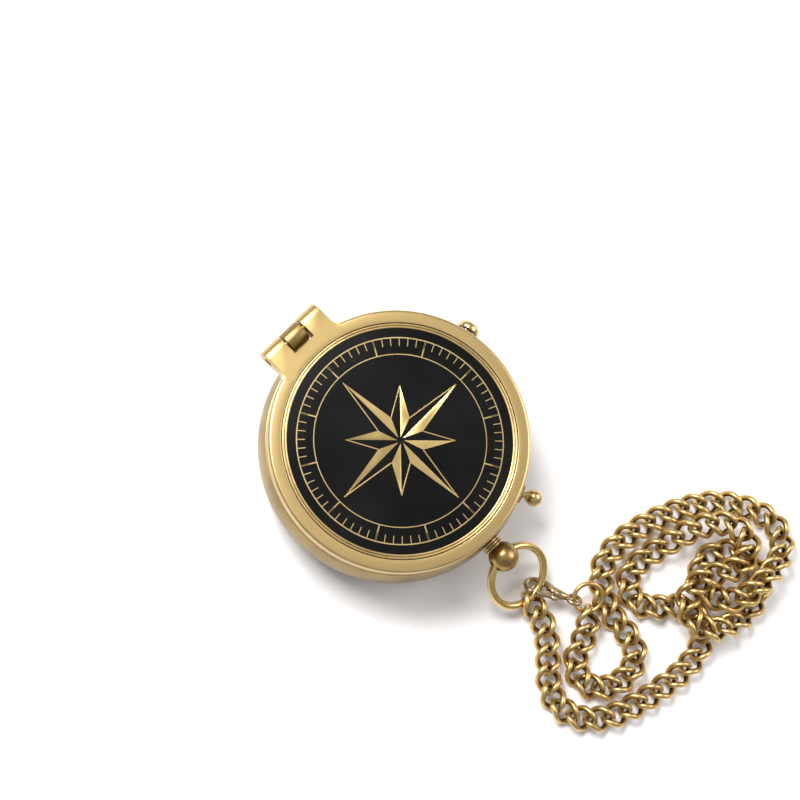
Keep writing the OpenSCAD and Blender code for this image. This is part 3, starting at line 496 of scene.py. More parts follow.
# %% Clasp lever
tip_points = np.array([[0.94, 0.24]]) + np.array([[-0.045, -0.07], [0.03, -0.045], [0.035, 0.03],
                                                  [-0.115, 0.04]])
root_points = np.array([[0.54, 0.07]]) + np.array([[0.05, 0.16], [-0.065, 0.21], [-0.14, 0.17],
    [-0.12, 0.065], [-0.07, -0.04], [0.065, -0.065]])
lever_outline = soften(CLASP_REACH * np.vstack([tip_points, root_points]), 0.3, steps=6)
lever = make_object("clasp_lever_strip", [plate(lever_outline, -0.375, 0.375, 0.14, clasp_axes,
    eye_point, centre=CLASP_REACH * np.array([0.62, 0.12]))], crease=CAST_CREASE)
carve(lever, [rod(LEVER_HOLE, -2, 2, 32, clasp_axes, pivot_point)], crease=CAST_CREASE)
rivet = make_object("clasp_rivet_pin",
                    [rod(RIVET_R, -1.05, 1.05, 32, clasp_axes, pivot_point, edge=0.12)])
print("lever:", len(lever.data.polygons), "faces")

# %% [markdown]
# ## The case
# The case is a turned bowl: a flat back, a generous rounding and a side that swells out a little.
# Only the rim carries sharp steps, where the glass ring sits. After turning, three holes are
# bored for the fittings, and the hinge knuckle is brazed on.

# %% Turn the case
TOTAL, LID_LOW, CASE_TOP, SILL = 18.0, 14.3, 14.2, 13.3
HOLLOW_R, SEAT_R, BACK, CORNER_R = 23.3, 23.7, 1.6, 4.5


def side_radius(height):
    """Radius of the swelling side: 26 less 0.9 times the square of (height - 9) / 5.2."""
    return 26 - 0.9 * ((height - 9) / 5.2) ** 2


side_heights = np.linspace(5.0, 13.4, 22)
case_outline = outline([0, 0],
    arc(side_radius(CORNER_R) - CORNER_R, CORNER_R, CORNER_R, -90, 0, 18),
    np.stack([side_radius(side_heights), side_heights], axis=1),
    soften(outline([side_radius(13.6), 13.6], [25.1, CASE_TOP], [SEAT_R, CASE_TOP], [SEAT_R, SILL],
                   [HOLLOW_R, SILL], [HOLLOW_R, BACK], [0, BACK]), 0.18, closed=False))
case = make_object("case_bowl", [turned(case_outline, 240)])


def fitting_axes(degrees):
    """Side, up and outward directions of a fitting at an angle from the bow."""
    out = np.array([math.sin(math.radians(degrees)), -math.cos(math.radians(degrees)), 0])
    return np.array([np.cross([0, 0, 1], out), [0, 0, 1], out])


NECK, KNOB, DOME = (fitting_axes(degrees) for degrees in (0, 25.4, 102))
FITTING_CENTRE = np.array([0, 0, FITTING_Z])
COLLAR_LOW, COLLAR_HIGH = 25.85, 26.45
BORE_R, BORE_MOUTH_R = 1.52, 2.15
bore = outline([0, 22.3], [BORE_R, 22.3], [BORE_R, COLLAR_LOW], [BORE_MOUTH_R, COLLAR_LOW],
               [BORE_MOUTH_R, 27.5], [0, 27.5])
for fitting in (NECK, KNOB, DOME):
    carve(case, [turned(bore, 48, fitting, FITTING_CENTRE)])
print("case:", len(case.data.polygons), "faces, three bores")

# %% [markdown]
# ## The hinge knuckle
# The case's half of the hinge is one knuckle between the lid's two lugs. Seen from the side it is
# a round eye on an arm, and that outline is carried straight across and brazed to the bowl.

# %% Carry the knuckle across
ACROSS = np.array([[0, 1, 0], [0, 0, 1], [1, 0, 0]])
HINGE_Y, HINGE_Z, KNUCKLE_R, LUG_R = 27.9, 15.8, 2.1, 2.2
PIN_R, KNUCKLE_BORE, LUG_BORE = 0.8, 0.82, 0.84
HINGE = np.array([0, HINGE_Y, HINGE_Z])
knuckle_side = outline([24.2, 11.15], [24.2, 14.15], [25.6, 14.15], [25.6, HINGE_Z],
    arc(HINGE_Y, HINGE_Z, KNUCKLE_R, 180, -90, 28), [HINGE_Y, 11.15])
knuckle = plate(knuckle_side, -2, 2, 0.1, ACROSS, centre=(26.6, 12.8))
carve(case, [knuckle], "UNION")
carve(case, [rod(KNUCKLE_BORE, -9, 9, 40, ACROSS, HINGE)])
pin = make_object("hinge_pin_rod", [rod(PIN_R, -6.52, 6.52, 40, ACROSS, HINGE, edge=0.15)])
print("knuckle joined,", len(case.data.polygons), "faces")

# %% [markdown]
# ## The lid
# The lid is a ring with a thin floor. Its outer edge is rounded and bright, its broad top is
# satin, and a recess holds the black disc. The two hinge lugs are joined on flush with the top,
# with small hollow fillets beside them, and bored for the pin.

# %% Turn the lid and join its lugs
RECESS_R, RECESS_Z, WEB_Z, LID_R, LID_EDGE = 22.5, 16.9, 15.7, 25.0, 0.7
LUG_IN, LUG_OUT, LUG_FOOT_Y, FILLET_R = 2.4, 6.9, 23.5, 1.2
lid_outline = outline(
    soften(outline([0, WEB_Z], [23.0, WEB_Z], [23.0, LID_LOW], [LID_R, LID_LOW], [LID_R, 16.6]),
           0.15, closed=False),
    arc(LID_R - LID_EDGE, TOTAL - LID_EDGE, LID_EDGE, 0, 90, 12),
    soften(outline([23.4, TOTAL], [RECESS_R, TOTAL], [RECESS_R, RECESS_Z], [0, RECESS_Z]),
           0.1, closed=False))
lid = make_object("lid_ring", [turned(lid_outline, 240)])
lug_side = outline([LUG_FOOT_Y, LID_LOW], [LUG_FOOT_Y, TOTAL],
                   arc(HINGE_Y, HINGE_Z, LUG_R, 90, -137, 30))
bridge_side = outline([LUG_FOOT_Y, LID_LOW], [LUG_FOOT_Y, TOTAL], [25.4, TOTAL], [25.4, LID_LOW])
for low, high in ((LUG_IN, LUG_OUT), (-LUG_OUT, -LUG_IN)):
    carve(lid, [plate(lug_side, low, high, 0.12, ACROSS, centre=(27, 16))], "UNION")
carve(lid, [plate(bridge_side, -3, 3, 0.01, ACROSS)], "UNION")
fillet_x = LUG_OUT + FILLET_R
fillet_y = math.sqrt((LID_R + FILLET_R) ** 2 - fillet_x ** 2)
touch = np.array([fillet_x, fillet_y]) * LID_R / (LID_R + FILLET_R)
corner = math.degrees(math.atan2(touch[1] - fillet_y, touch[0] - fillet_x)) + 360
fillet_top = outline([5.4, fillet_y], arc(fillet_x, fillet_y, FILLET_R, 180, corner, 14),
                     touch * 0.94, [5.4, touch[1] - 1.5])
for side in (1, -1):
    wedge = plate(fillet_top, LID_LOW, TOTAL, 0.01, np.diag([side, 1, 1]), centre=(6.2, 23.2))
    carve(lid, [wedge], "UNION")
carve(lid, [rod(LUG_BORE, -9, 9, 40, ACROSS, HINGE)])
print("lid:", len(lid.data.polygons), "faces")

# %% [markdown]
# ## Bezel and inlay
# A ring with two rounded ridges is pressed into the recess and holds the black disc. On the disc
# there is a plain compass rose with a ring of tick marks, thin gilt plates on the black. Half of
# each ray is filled and the other half is only outlined, as engravers often draw it.

# %% Turn the bezel and the disc
DISC_R, DISC_TOP = 21.85, 17.7
bezel_outline = outline([21.9, RECESS_Z], [22.4, RECESS_Z],
    arc(22.15, 17.75, 0.25, 0, 180, 14), arc(21.65, 17.75, 0.25, 0, 180, 14),
    [21.4, 17.725], [21.9, 17.725])
bezel = make_object("lid_bezel_ring", [turned(bezel_outline, 240)])
disc = make_object("lid_black_disc", [rod(DISC_R, RECESS_Z, DISC_TOP, 200, edge=0.1)])


def marks(degrees, inner, outer, width, low, high):
    """Flat bars that point to the middle, at the given angles from the hinge.

    Each bar is a loop of four corners at its inner and at its outer end, closed at both ends.
    """
    corner = np.array([[-1, 0], [1, 0], [1, 1], [-1, 1]]) * [width / 2, high - low] + [0, low]
    middle = np.broadcast_to(corner.mean(axis=0), corner.shape)
    section = np.stack([middle, corner, corner, middle])
    reach = np.array([inner, inner, outer, outer])[:, None]
    a = np.radians(np.asarray(degrees, float))[:, None, None]
    x = section[None, ..., 0] * np.cos(a) + reach[None] * np.sin(a)
    y = -section[None, ..., 0] * np.sin(a) + reach[None] * np.cos(a)
    z = np.broadcast_to(section[None, ..., 1], x.shape)
    return surface(np.stack([x, y, z], axis=-1), False, True, 0.5, 0.0)


def line_ring(radius, width, low, high, around=200):
    """A thin flat ring, a turned rectangle."""
    return turned(rectangle(radius - width / 2, radius + width / 2, low, high), around)


def rose_rays(turns, tip, shoulder_r, low, high, line):
    """Rays of a rose: one half is a filled triangle, and the other is drawn by two thin bars."""
    parts = []
    point = np.array([0, tip])
    shoulder = shoulder_r * np.array([math.sin(math.pi / 8), math.cos(math.pi / 8)])
    for degrees in turns:
        axes = tilt("Z", -degrees).T
        filled = outline([0, 0.6], shoulder, point)
        parts.append(plate(filled, low, high, 0.01, axes, centre=filled.mean(axis=0)))
        other = shoulder * [-1, 1]
        way = (point - other) / np.linalg.norm(point - other)
        square = np.array([-way[1], way[0]]) * line / 2
        parts.append(plate(outline(other - square, point - square, point + square, other + square),
                           low, high, 0.01, axes))
    return parts


TOP, UNDER = 17.75, 17.68
rose = make_object("lid_rose", [
    *rose_rays((0, 90, 180, 270), 15.2, 4.6, UNDER, TOP, 0.22),
    *rose_rays((45, 135, 225, 315), 10.4, 4.6, UNDER, TOP, 0.2),
    line_ring(19.6, 0.22, UNDER, TOP), line_ring(16.4, 0.18, UNDER, TOP),
    marks(np.arange(0, 360, 5), 18.0, 19.5, 0.16, UNDER, TOP),
    marks(np.arange(0, 360, 30), 16.5, 19.5, 0.26, UNDER, TOP)], crease=20)
print("rose:", len(rose.data.polygons), "faces on a disc", 2 * DISC_R, "mm across")

# %% [markdown]
# ## Knob, button and their collars
# The ball knob and the domed button are turned with their stems, and each slides in a bush whose
# collar sits on the case. All of them are turned about their own outward axis.

# %% Turn the side fittings
STEM_R, STEM_BORE, BUSH_R, KNOB_R, BUTTON_R = 0.75, 0.79, 1.5, 1.65, 2.28


def collar(name, rim, axes):
    """A bush for a stem, with a collar that reaches out to the rim."""
    section = outline([STEM_BORE, 23.0], [BUSH_R, 23.0], [BUSH_R, COLLAR_LOW], [rim, COLLAR_LOW],
                      [rim, COLLAR_HIGH], [STEM_BORE, COLLAR_HIGH])
    return make_object(name, [turned(soften(section, 0.1), 56, axes, FITTING_CENTRE)])


release_collar = collar("knob_collar", 1.95, KNOB)
brake_collar = collar("button_collar", 1.68, DOME)
knob_stem = outline([0, 21.0], [STEM_R, 21.0], [STEM_R, 27.3], [1.1, 27.35], [1.1, 27.75])
knob_outline = outline(soften(knob_stem, 0.06, closed=False), arc(0, 28.9, KNOB_R, -43, 90, 26))
knob = make_object("ball_knob", [turned(knob_outline, 72, KNOB, FITTING_CENTRE)])
button_stem = outline([0, 18.2], [0.45, 18.2], [STEM_R, 19.4], [STEM_R, 28.8], [1.4, 28.8],
                      [1.83, 28.35], [1.83, 27.35], [BUTTON_R, 27.35], [BUTTON_R, 27.8])
rise = np.radians(np.linspace(0, 90, 18))
dome_top = np.stack([BUTTON_R * np.cos(rise), 27.8 + 1.45 * np.sin(rise)], axis=1)
button_outline = outline(soften(button_stem, 0.08, closed=False), dome_top)
button = make_object("dome_button", [turned(button_outline, 72, DOME, FITTING_CENTRE)])
print("knob ball", 2 * KNOB_R, "mm, button", 2 * BUTTON_R, "mm across")

# %% [markdown]
# ## The two springs
# A coil of steel wire pushes each button out again. A coil is wire carried along a helix. Under
# the knob it widens on its way, so that its turns can nest when it is pressed nearly flat.

# %% Wind the springs
def coil(name, first_radius, last_radius, thickness, low, high, turns, axes):
    """Wire along a helix about the third axis: as the angle a grows, the distance from the axis
    and the height grow evenly with it."""
    a = np.linspace(0, 2 * np.pi * turns, int(16 * turns) + 1)[:, None]
    share = a / a[-1]
    radius = first_radius + (last_radius - first_radius) * share
    height = low + thickness + (high - low - 2 * thickness) * share
    path = FITTING_CENTRE + radius * (np.cos(a) * axes[0] + np.sin(a) * axes[1]) + height * axes[2]
    radii = np.full(len(path), thickness)
    radii[[0, -1]] = 0
    return make_object(name, [wire(path, radii, axes[2], 8)])


release_coil = coil("knob_spring", 1.2, 1.7, 0.1, 19.96, 20.94, 2.5, KNOB)
brake_coil = coil("button_spring", 1.25, 1.25, 0.15, 26.52, 28.73, 4, DOME)
print("springs:", len(release_coil.data.polygons) + len(brake_coil.data.polygons), "faces")

# %% [markdown]
# ## The neck
# The neck is turned with three ridges and ends in a ball. The hole for the bow is drilled across
# the ball. The grooves between the ridges are darkened with dirt and painted shade, which the
# outline's mask gives without any extra work.

# %% Turn and drill the neck
RIDGE, RIDGE_R, GROOVE_R, BOW_HOLE = 0.25, 2.1, 1.7, 1.25
steps_up = [COLLAR_LOW + k * RIDGE for k in range(7)]
ridges = [[[RIDGE_R, steps_up[k]], [RIDGE_R, steps_up[k + 1]],
           [GROOVE_R, steps_up[k + 1]], [GROOVE_R, steps_up[k + 2]]] for k in (0, 2, 4)]
neck_foot = outline([0, 21.8], [BUSH_R, 21.8], [BUSH_R, COLLAR_LOW], *ridges)
neck_outline = outline(soften(neck_foot, 0.07, closed=False, steps=4),
                       arc(0, NECK_Y, BALL_RADIUS, -50.1, 90, 36))
neck = make_object("bow_neck_ball", [turned(neck_outline, 96, NECK, FITTING_CENTRE)])
carve(neck, [rod(BOW_HOLE, -4, 4, 48, ACROSS, ball_centre)])
print("neck:", len(neck.data.polygons), "faces")

# %% [markdown]
# ## Under the lid: the dial
# The closed lid hides the compass itself, so this is what such a compass holds. The dial is a
# cream plate with a printed scale of degrees. The print could be a pattern in the material, but
# thin plates that stand 0.02 mm proud stay sharp and are simple to change. The scale leaves out
# the marks at the slit for the button's lifter.

# %% Dial plate and its print
DIAL_TOP = float(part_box("dial")[1][2]) / MM
DIAL_R, HOLE_R, SLIT_AT = 18.85, 2.0, 78
dial_section = rectangle(HOLE_R, DIAL_R, DIAL_TOP - 0.5, DIAL_TOP)
dial = make_object("dial_plate", [turned(soften(dial_section, 0.06), 160)])


def upright(fitting):
    """A fitting's axes put in the order outward, sideways, up, to carry an outline upwards."""
    return fitting[[2, 0, 1]]


slit = rectangle(16.4, 17.6, -1.3, 1.3)
carve(dial, [plate(slit, DIAL_TOP - 2, DIAL_TOP + 2, 0.01, upright(DOME))])
INK_LOW, INK_HIGH = DIAL_TOP - 0.01, DIAL_TOP + 0.02


def lettering(words, size, radius):
    """Generic numbers and the four directions, each a mesh that is set upright on the circle."""
    parts = []
    for degrees, word in words:
        curve = bpy.data.curves.new("word", "FONT")
        curve.body, curve.size, curve.align_x, curve.align_y = word, size, "CENTER", "CENTER"
        curve.extrude, curve.resolution_u = (INK_HIGH - INK_LOW) / 2, 4
        holder = add_object("word", curve)
        flat = bpy.data.meshes.new_from_object(
            holder.evaluated_get(bpy.context.evaluated_depsgraph_get()))
        points = np.empty(3 * len(flat.vertices))
        flat.vertices.foreach_get("co", points)
        placed = points.reshape(-1, 3) @ tilt("Z", -degrees).T
        a = math.radians(degrees)
        placed += [radius * math.sin(a), radius * math.cos(a), (INK_LOW + INK_HIGH) / 2]
        parts.append((placed, [list(face.vertices) for face in flat.polygons]))
        bpy.data.objects.remove(holder)
    return parts


words = lettering([(d, str(d)) for d in range(0, 360, 30)], 1.7, 14.6)
words += lettering([(0, "N"), (90, "E"), (180, "S"), (270, "W")], 2.6, 11.9)
starts = np.cumsum([0] + [len(points) for points, faces in words])
word_points = np.concatenate([points for points, faces in words]) * MM
word_faces = [[int(start) + v for v in face]
              for (points, faces), start in zip(words, starts) for face in faces]
ink_mesh = bpy.data.meshes.new("dial_numbers")
ink_mesh.from_pydata(word_points.tolist(), [], word_faces)
numbers = add_object("dial_numbers", ink_mesh)


def clear_of_slit(step):
    """Angles at equal steps round the dial, without those within 5 degrees of the slit."""
    return [d for d in range(0, 360, step) if abs(d - SLIT_AT) > 5]


scale = make_object("dial_scale", [
    line_ring(18.3, 0.1, INK_LOW, INK_HIGH), line_ring(16.1, 0.1, INK_LOW, INK_HIGH),
    marks(clear_of_slit(2), 17.3, 18.3, 0.1, INK_LOW, INK_HIGH),
    marks(clear_of_slit(10), 16.1, 18.3, 0.16, INK_LOW, INK_HIGH),
    *rose_rays((0, 90, 180, 270), 10.2, 3.0, INK_LOW, INK_HIGH, 0.12),
    *rose_rays((45, 135, 225, 315), 7.4, 3.0, INK_LOW, INK_HIGH, 0.12)], crease=20)
carve(scale, [rod(HOLE_R, 0, 9, 48)], crease=20)
print("dial print:", len(ink_mesh.polygons) + len(scale.data.polygons), "faces")

# %% [markdown]
# ## Under the lid: needle and glass
# The needle is a flat rhombus with a low ridge, which floats on a steel point under a glass. Four
# loops of four corners make it, and the small shading angle keeps its ridge sharp. The glass is
# a turned disc, held by a turned ring with a gap for the keeper of the lid.

# %% Needle, glass and the ring that holds it
needle_low, needle_high = (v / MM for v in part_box("needle_blade"))
half_l, half_w = float(needle_high[1]), float(needle_high[0])
rhombus = np.array([[half_w, 0], [0, half_l], [-half_w, 0], [0, -half_l]])
share_and_rise = np.array([[0, 0], [1, 0], [1, 0.12], [0, 0.3]])[:, None]
blade_heights = np.broadcast_to(share_and_rise[..., 1:] + float(needle_low[2]), (4, 4, 1))
blade_grid = np.concatenate([share_and_rise[..., :1] * rhombus[None], blade_heights], axis=-1)
needle = make_object("needle_rhombus", [surface(blade_grid, False, True, 0.2, 0.0)], crease=4)
glass_low, glass_high = (v[2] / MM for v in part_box("glass"))
GLASS_R = 19.75
glass = make_object("dial_glass_disc", [rod(GLASS_R, glass_low, glass_high, 160, edge=0.3)])
ring_low, ring_high = (v[2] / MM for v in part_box("glass_bezel"))
sight_r, ring_r, groove_z = 18.2, 23.65, ring_high - 0.18
rail = outline([sight_r, ring_low], [ring_r, ring_low], [ring_r, ring_high], [21.6, ring_high],
               [21.2, groove_z], [20.6, groove_z], [20.2, ring_high],
               [sight_r + 0.5, ring_high], [sight_r, ring_high - 0.5])
glass_ring = make_object("glass_ring", [turned(soften(rail, 0.1), 200)])
gap = rectangle(19.95, 23.3, -2.0, 2.0)
carve(glass_ring, [plate(gap, ring_low - 1, ring_high + 1, 0.01, upright(KNOB))])
print("needle", round(2 * half_l, 1), "mm long, glass",
      round(float(glass_high - glass_low), 2), "mm thick")

# %% [markdown]
# ## Finishes: the shared effects
# Four effects are built once as node groups. Tarnish clouds the brass and follows the worn and
# hollow masks: worn edges are rubbed bright, and hollows are darkened with dirt and painted shade.
# Grain is noise drawn out along one direction, as brushing leaves it. Lathe lines depend only on
# the distance from the axis and the height. Pits are sparse dark specks.

# %% Node helpers and groups
def add(tree, kind, inputs=(), **settings):
    """A node with its settings. A plain input value is typed in, and a socket is wired in."""
    made = tree.nodes.new(kind)
    for key, value in settings.items():
        setattr(made, key, value)
    for key, value in dict(inputs).items():
        if isinstance(value, bpy.types.NodeSocket):
            tree.links.new(value, made.inputs[key])
        else:
            made.inputs[key].default_value = value
    return made


def new_group(name, inputs, outputs):
    """A shader node group with named inputs and outputs."""
    tree = bpy.data.node_groups.new(name, "ShaderNodeTree")
    for label, kind, value in inputs:
        tree.interface.new_socket(label, in_out="INPUT", socket_type=kind).default_value = value
    for label, kind in outputs:
        tree.interface.new_socket(label, in_out="OUTPUT", socket_type=kind)
    return tree, tree.nodes.new("NodeGroupInput").outputs, tree.nodes.new("NodeGroupOutput")


def blend_colour(tree, factor, first, second):
    """Mixes two colours by a factor, each a value or a socket."""
    return add(tree, "ShaderNodeMix", {0: factor, 6: first, 7: second}, data_type="RGBA").outputs[2]


def maths(tree, operation, first, second=0.0, clamp=False):
    """One step of arithmetic on values or sockets."""
    return add(tree, "ShaderNodeMath", {0: first, 1: second},
               operation=operation, use_clamp=clamp).outputs[0]


def object_point(tree):
    """The place on the object, which stays with the piece when it moves."""
    return add(tree, "ShaderNodeTexCoord").outputs["Object"]


def noise(tree, place, scale, detail, **more):
    """Smooth noise, whose size in metres is about 1 over the scale."""
    return add(tree, "ShaderNodeTexNoise",
               {"Vector": place, "Scale": scale, "Detail": detail, **more}).outputs["Fac"]


def ramp(tree, value, low, high, first=0.0, last=1.0):
    """Carries the range from low to high over to first to last, and holds it there."""
    return add(tree, "ShaderNodeMapRange",
               {0: value, 1: low, 2: high, 3: first, 4: last}).outputs[0]


COLOUR, NUMBER, VECTOR = "NodeSocketColor", "NodeSocketFloat", "NodeSocketVector"
tarnish_and_shade, given, result = new_group("tarnished_shaded_brass",
    [("Clean", COLOUR, (0.7, 0.5, 0.2, 1)), ("Dark", COLOUR, (0.2, 0.1, 0.04, 1)),
     ("Bright", COLOUR, (0.9, 0.75, 0.4, 1)), ("Cloud size", NUMBER, 300), ("Clouds", NUMBER, 0.5),
     ("Dirt and shade in hollows", NUMBER, 0.8), ("Rubbed edges", NUMBER, 0.6)],
    [("Colour", COLOUR), ("Tarnish and shade", NUMBER)])
cloud = noise(tarnish_and_shade, object_point(tarnish_and_shade), given["Cloud size"], 6, Roughness=0.62)
cloud = ramp(tarnish_and_shade, cloud, 0.38, 0.72)
hollow_mask = add(tarnish_and_shade, "ShaderNodeAttribute", attribute_name="hollow").outputs["Fac"]
worn_mask = add(tarnish_and_shade, "ShaderNodeAttribute", attribute_name="worn").outputs["Fac"]
# Dirt and painted shade: the hollow mask darkens the colour where the outline turns inwards.
dirt_and_shade = maths(tarnish_and_shade, "MULTIPLY", hollow_mask, given["Dirt and shade in hollows"], True)
cover = maths(tarnish_and_shade, "MAXIMUM", maths(tarnish_and_shade, "MULTIPLY", cloud, given["Clouds"]), dirt_and_shade)
rubbed = maths(tarnish_and_shade, "MULTIPLY", maths(tarnish_and_shade, "MULTIPLY", worn_mask, given["Rubbed edges"]),
               maths(tarnish_and_shade, "SUBTRACT", 1.0, maths(tarnish_and_shade, "MULTIPLY", cloud, 0.5)), True)
base = blend_colour(tarnish_and_shade, cover, given["Clean"], given["Dark"])
tarnish_and_shade.links.new(blend_colour(tarnish_and_shade, rubbed, base, given["Bright"]), result.inputs["Colour"])
tarnish_and_shade.links.new(maths(tarnish_and_shade, "SUBTRACT", cover, rubbed, True), result.inputs["Tarnish and shade"])

grain, given, result = new_group("brushed_grain",
    [("Stretch", VECTOR, (1, 1, 1)), ("Fineness", NUMBER, 4000)], [("Height", NUMBER)])
drawn = add(grain, "ShaderNodeVectorMath", {0: object_point(grain), 1: given["Stretch"]},
            operation="MULTIPLY").outputs[0]
grain.links.new(noise(grain, drawn, given["Fineness"], 3), result.inputs["Height"])

lathe, given, result = new_group("lathe_lines", [("Fineness", NUMBER, 5000)], [("Height", NUMBER)])
place = object_point(lathe)
x, y, z = add(lathe, "ShaderNodeSeparateXYZ", {0: place}).outputs
squares = [maths(lathe, "MULTIPLY", part, part) for part in (x, y)]
distance = maths(lathe, "SQRT", maths(lathe, "ADD", *squares))
spot = add(lathe, "ShaderNodeCombineXYZ", {0: distance, 1: z}).outputs[0]
fine, slow = noise(lathe, spot, given["Fineness"], 4), noise(lathe, place, 400.0, 2)
lathe.links.new(maths(lathe, "MULTIPLY", fine, slow), result.inputs["Height"])

pits, given, result = new_group("sparse_pits", [("Size", NUMBER, 900), ("Amount", NUMBER, 0.1)],
                                [("Mask", NUMBER)])
cells = add(pits, "ShaderNodeTexVoronoi", {"Vector": object_point(pits), "Scale": given["Size"]})
speck = ramp(pits, cells.outputs["Distance"], 0.12, 0.04)
draw = add(pits, "ShaderNodeSeparateColor", {0: cells.outputs["Color"]}).outputs[0]
chosen = maths(pits, "LESS_THAN", draw, given["Amount"])
pits.links.new(maths(pits, "MULTIPLY", speck, chosen), result.inputs["Mask"])
print("node groups:", [group.name for group in bpy.data.node_groups])

# %% [markdown]
# ## Finishes: one recipe for all the metals
# Every metal is the same shader fed by the groups, with its own colours, cloud size, roughness and
# marks. The roughness follows the tarnish and the painted shade, so that rubbed edges shine and the
# dirty, shaded hollows stay dull, and a shallow bump breaks the reflections as brushing and turning
# do. The bump of the grain feeds that of the lathe lines, so that a piece can carry both.

# %% Mix the metals
LATHE_FINENESS = 5200


def new_material(name):
    """A material, its node tree and the shader in it."""
    made = bpy.data.materials.new(name)
    made.use_nodes = True
    return made, made.node_tree, made.node_tree.nodes["Principled BSDF"]


def with_specks(tree, colour, amount, speck_colour):
    """The colour, with sparse specks of another one where an amount is given."""
    if not amount:
        return colour
    mask = add(tree, "ShaderNodeGroup", {"Amount": amount}, node_tree=pits).outputs["Mask"]
    return blend_colour(tree, mask, colour, (*speck_colour, 1))


def metal(name, clean, dark, bright, cloud_size=260, clouds=0.5, dirt_and_shade=0.85, rubbed=0.7,
          smooth=0.3, dull=0.5, stretch=(1, 1, 1), grain_size=3000, grain_depth=0.0,
          lathe_depth=0.0, pit_amount=0.0):
    """A metal finish. Depths are in millimetres, and colours are linear."""
    made, tree, shader = new_material(name)
    shader.inputs["Metallic"].default_value = 1.0
    skin = add(tree, "ShaderNodeGroup", {
        "Clean": (*clean, 1), "Dark": (*dark, 1), "Bright": (*bright, 1), "Cloud size": cloud_size,
        "Clouds": clouds, "Dirt and shade in hollows": dirt_and_shade, "Rubbed edges": rubbed}, node_tree=tarnish_and_shade)
    colour = with_specks(tree, skin.outputs["Colour"], pit_amount, dark)
    tree.links.new(colour, shader.inputs["Base Color"])
    rough = ramp(tree, skin.outputs["Tarnish and shade"], 0.0, 1.0, smooth, dull)
    tree.links.new(rough, shader.inputs["Roughness"])
    normal = None
    for group, depth, values in ((grain, grain_depth, {"Stretch": stretch, "Fineness": grain_size}),
                                 (lathe, lathe_depth, {"Fineness": LATHE_FINENESS})):
        if depth:
            height = add(tree, "ShaderNodeGroup", values, node_tree=group).outputs[0]
            bump = add(tree, "ShaderNodeBump",
                       {"Height": height, "Strength": 1.0, "Distance": depth * MM})
            if normal is not None:
                tree.links.new(normal, bump.inputs["Normal"])
            normal = bump.outputs[0]
            tree.links.new(normal, shader.inputs["Normal"])
    return made


# Each metal's dark colour serves its tarnish clouds and also the dirt and painted shade in its
# hollows, such as the grooves of the neck and the bezel and the inner sides of the chain's links.
GILT, BROWN = (0.80, 0.64, 0.33), (0.20, 0.125, 0.04)
lid_brass = metal("satin_lid_brass", (0.60, 0.43, 0.18), (0.36, 0.235, 0.085), (0.90, 0.74, 0.42),
    cloud_size=120, clouds=0.5, rubbed=0.9, smooth=0.31, dull=0.46, stretch=(1, 0.05, 1),
    grain_size=2600, grain_depth=0.004, lathe_depth=0.003, pit_amount=0.05)
case_brass = metal("antique_case_brass",
    (0.36, 0.26, 0.10), (0.15, 0.10, 0.035), (0.66, 0.51, 0.25),
    cloud_size=90, clouds=0.6, rubbed=0.6, smooth=0.32, dull=0.52, lathe_depth=0.003)
bezel_brass = metal("ridged_bezel_brass",
    (0.58, 0.42, 0.17), (0.10, 0.06, 0.02), (0.80, 0.63, 0.33),
    clouds=0.3, dirt_and_shade=1.0, rubbed=0.4, smooth=0.34, dull=0.5, lathe_depth=0.002)
pin_brass = metal("hinge_pin_brass", (0.66, 0.50, 0.23), BROWN, GILT, clouds=0.35, smooth=0.25,
    grain_depth=0.002)
neck_brass = metal("antique_neck_brass",
    (0.50, 0.32, 0.12), (0.08, 0.035, 0.01), (0.86, 0.66, 0.34),
    cloud_size=420, clouds=0.8, dirt_and_shade=1.0, smooth=0.28, dull=0.55, grain_depth=0.006, pit_amount=0.3)
collar_brass = metal("collar_brass", (0.46, 0.31, 0.12), (0.09, 0.045, 0.015), (0.72, 0.54, 0.27),
    cloud_size=500, clouds=0.6, smooth=0.3)
knob_brass = metal("knob_brass", (0.78, 0.57, 0.25), (0.20, 0.115, 0.035), (0.95, 0.80, 0.50),
    cloud_size=420, clouds=0.5, smooth=0.2, dull=0.42, grain_depth=0.002)
bow_brass = metal("bow_brass", (0.76, 0.55, 0.20), (0.34, 0.22, 0.06), (0.95, 0.78, 0.42),
    cloud_size=260, clouds=0.5, rubbed=0.5, smooth=0.25, dull=0.42, grain_depth=0.002)
chain_brass = metal("antique_chain_brass",
    (0.63, 0.41, 0.13), (0.05, 0.018, 0.003), (0.88, 0.68, 0.33),
    cloud_size=330, clouds=0.5, dirt_and_shade=1.0, rubbed=0.5, smooth=0.36, dull=0.55, grain_depth=0.003)
clasp_brass = metal("greyed_clasp_brass",
    (0.44, 0.33, 0.18), (0.10, 0.06, 0.03), (0.80, 0.68, 0.46),
    cloud_size=380, clouds=0.6, smooth=0.26, dull=0.5, grain_depth=0.003)
inner_brass = metal("turned_inner_brass", (0.68, 0.52, 0.24), (0.40, 0.28, 0.11), GILT,
    clouds=0.25, smooth=0.22, dull=0.4, lathe_depth=0.003)
steel = metal("spring_steel", (0.46, 0.46, 0.46), (0.24, 0.22, 0.2), (0.62, 0.62, 0.62),
    cloud_size=600, clouds=0.4, smooth=0.22, dull=0.4, grain_depth=0.002)
print("metals:", len(bpy.data.materials))

# %% [markdown]
# ## Finishes: disc, dial, needle, ruby and glass
# The disc is black lacquer with a faint cloud in its gloss and a few specks of dust. The dial is
# matt cream enamel that has yellowed unevenly. The needle is blued on its north half and bare on
# its south half, which a step on the Y coordinate shares out.

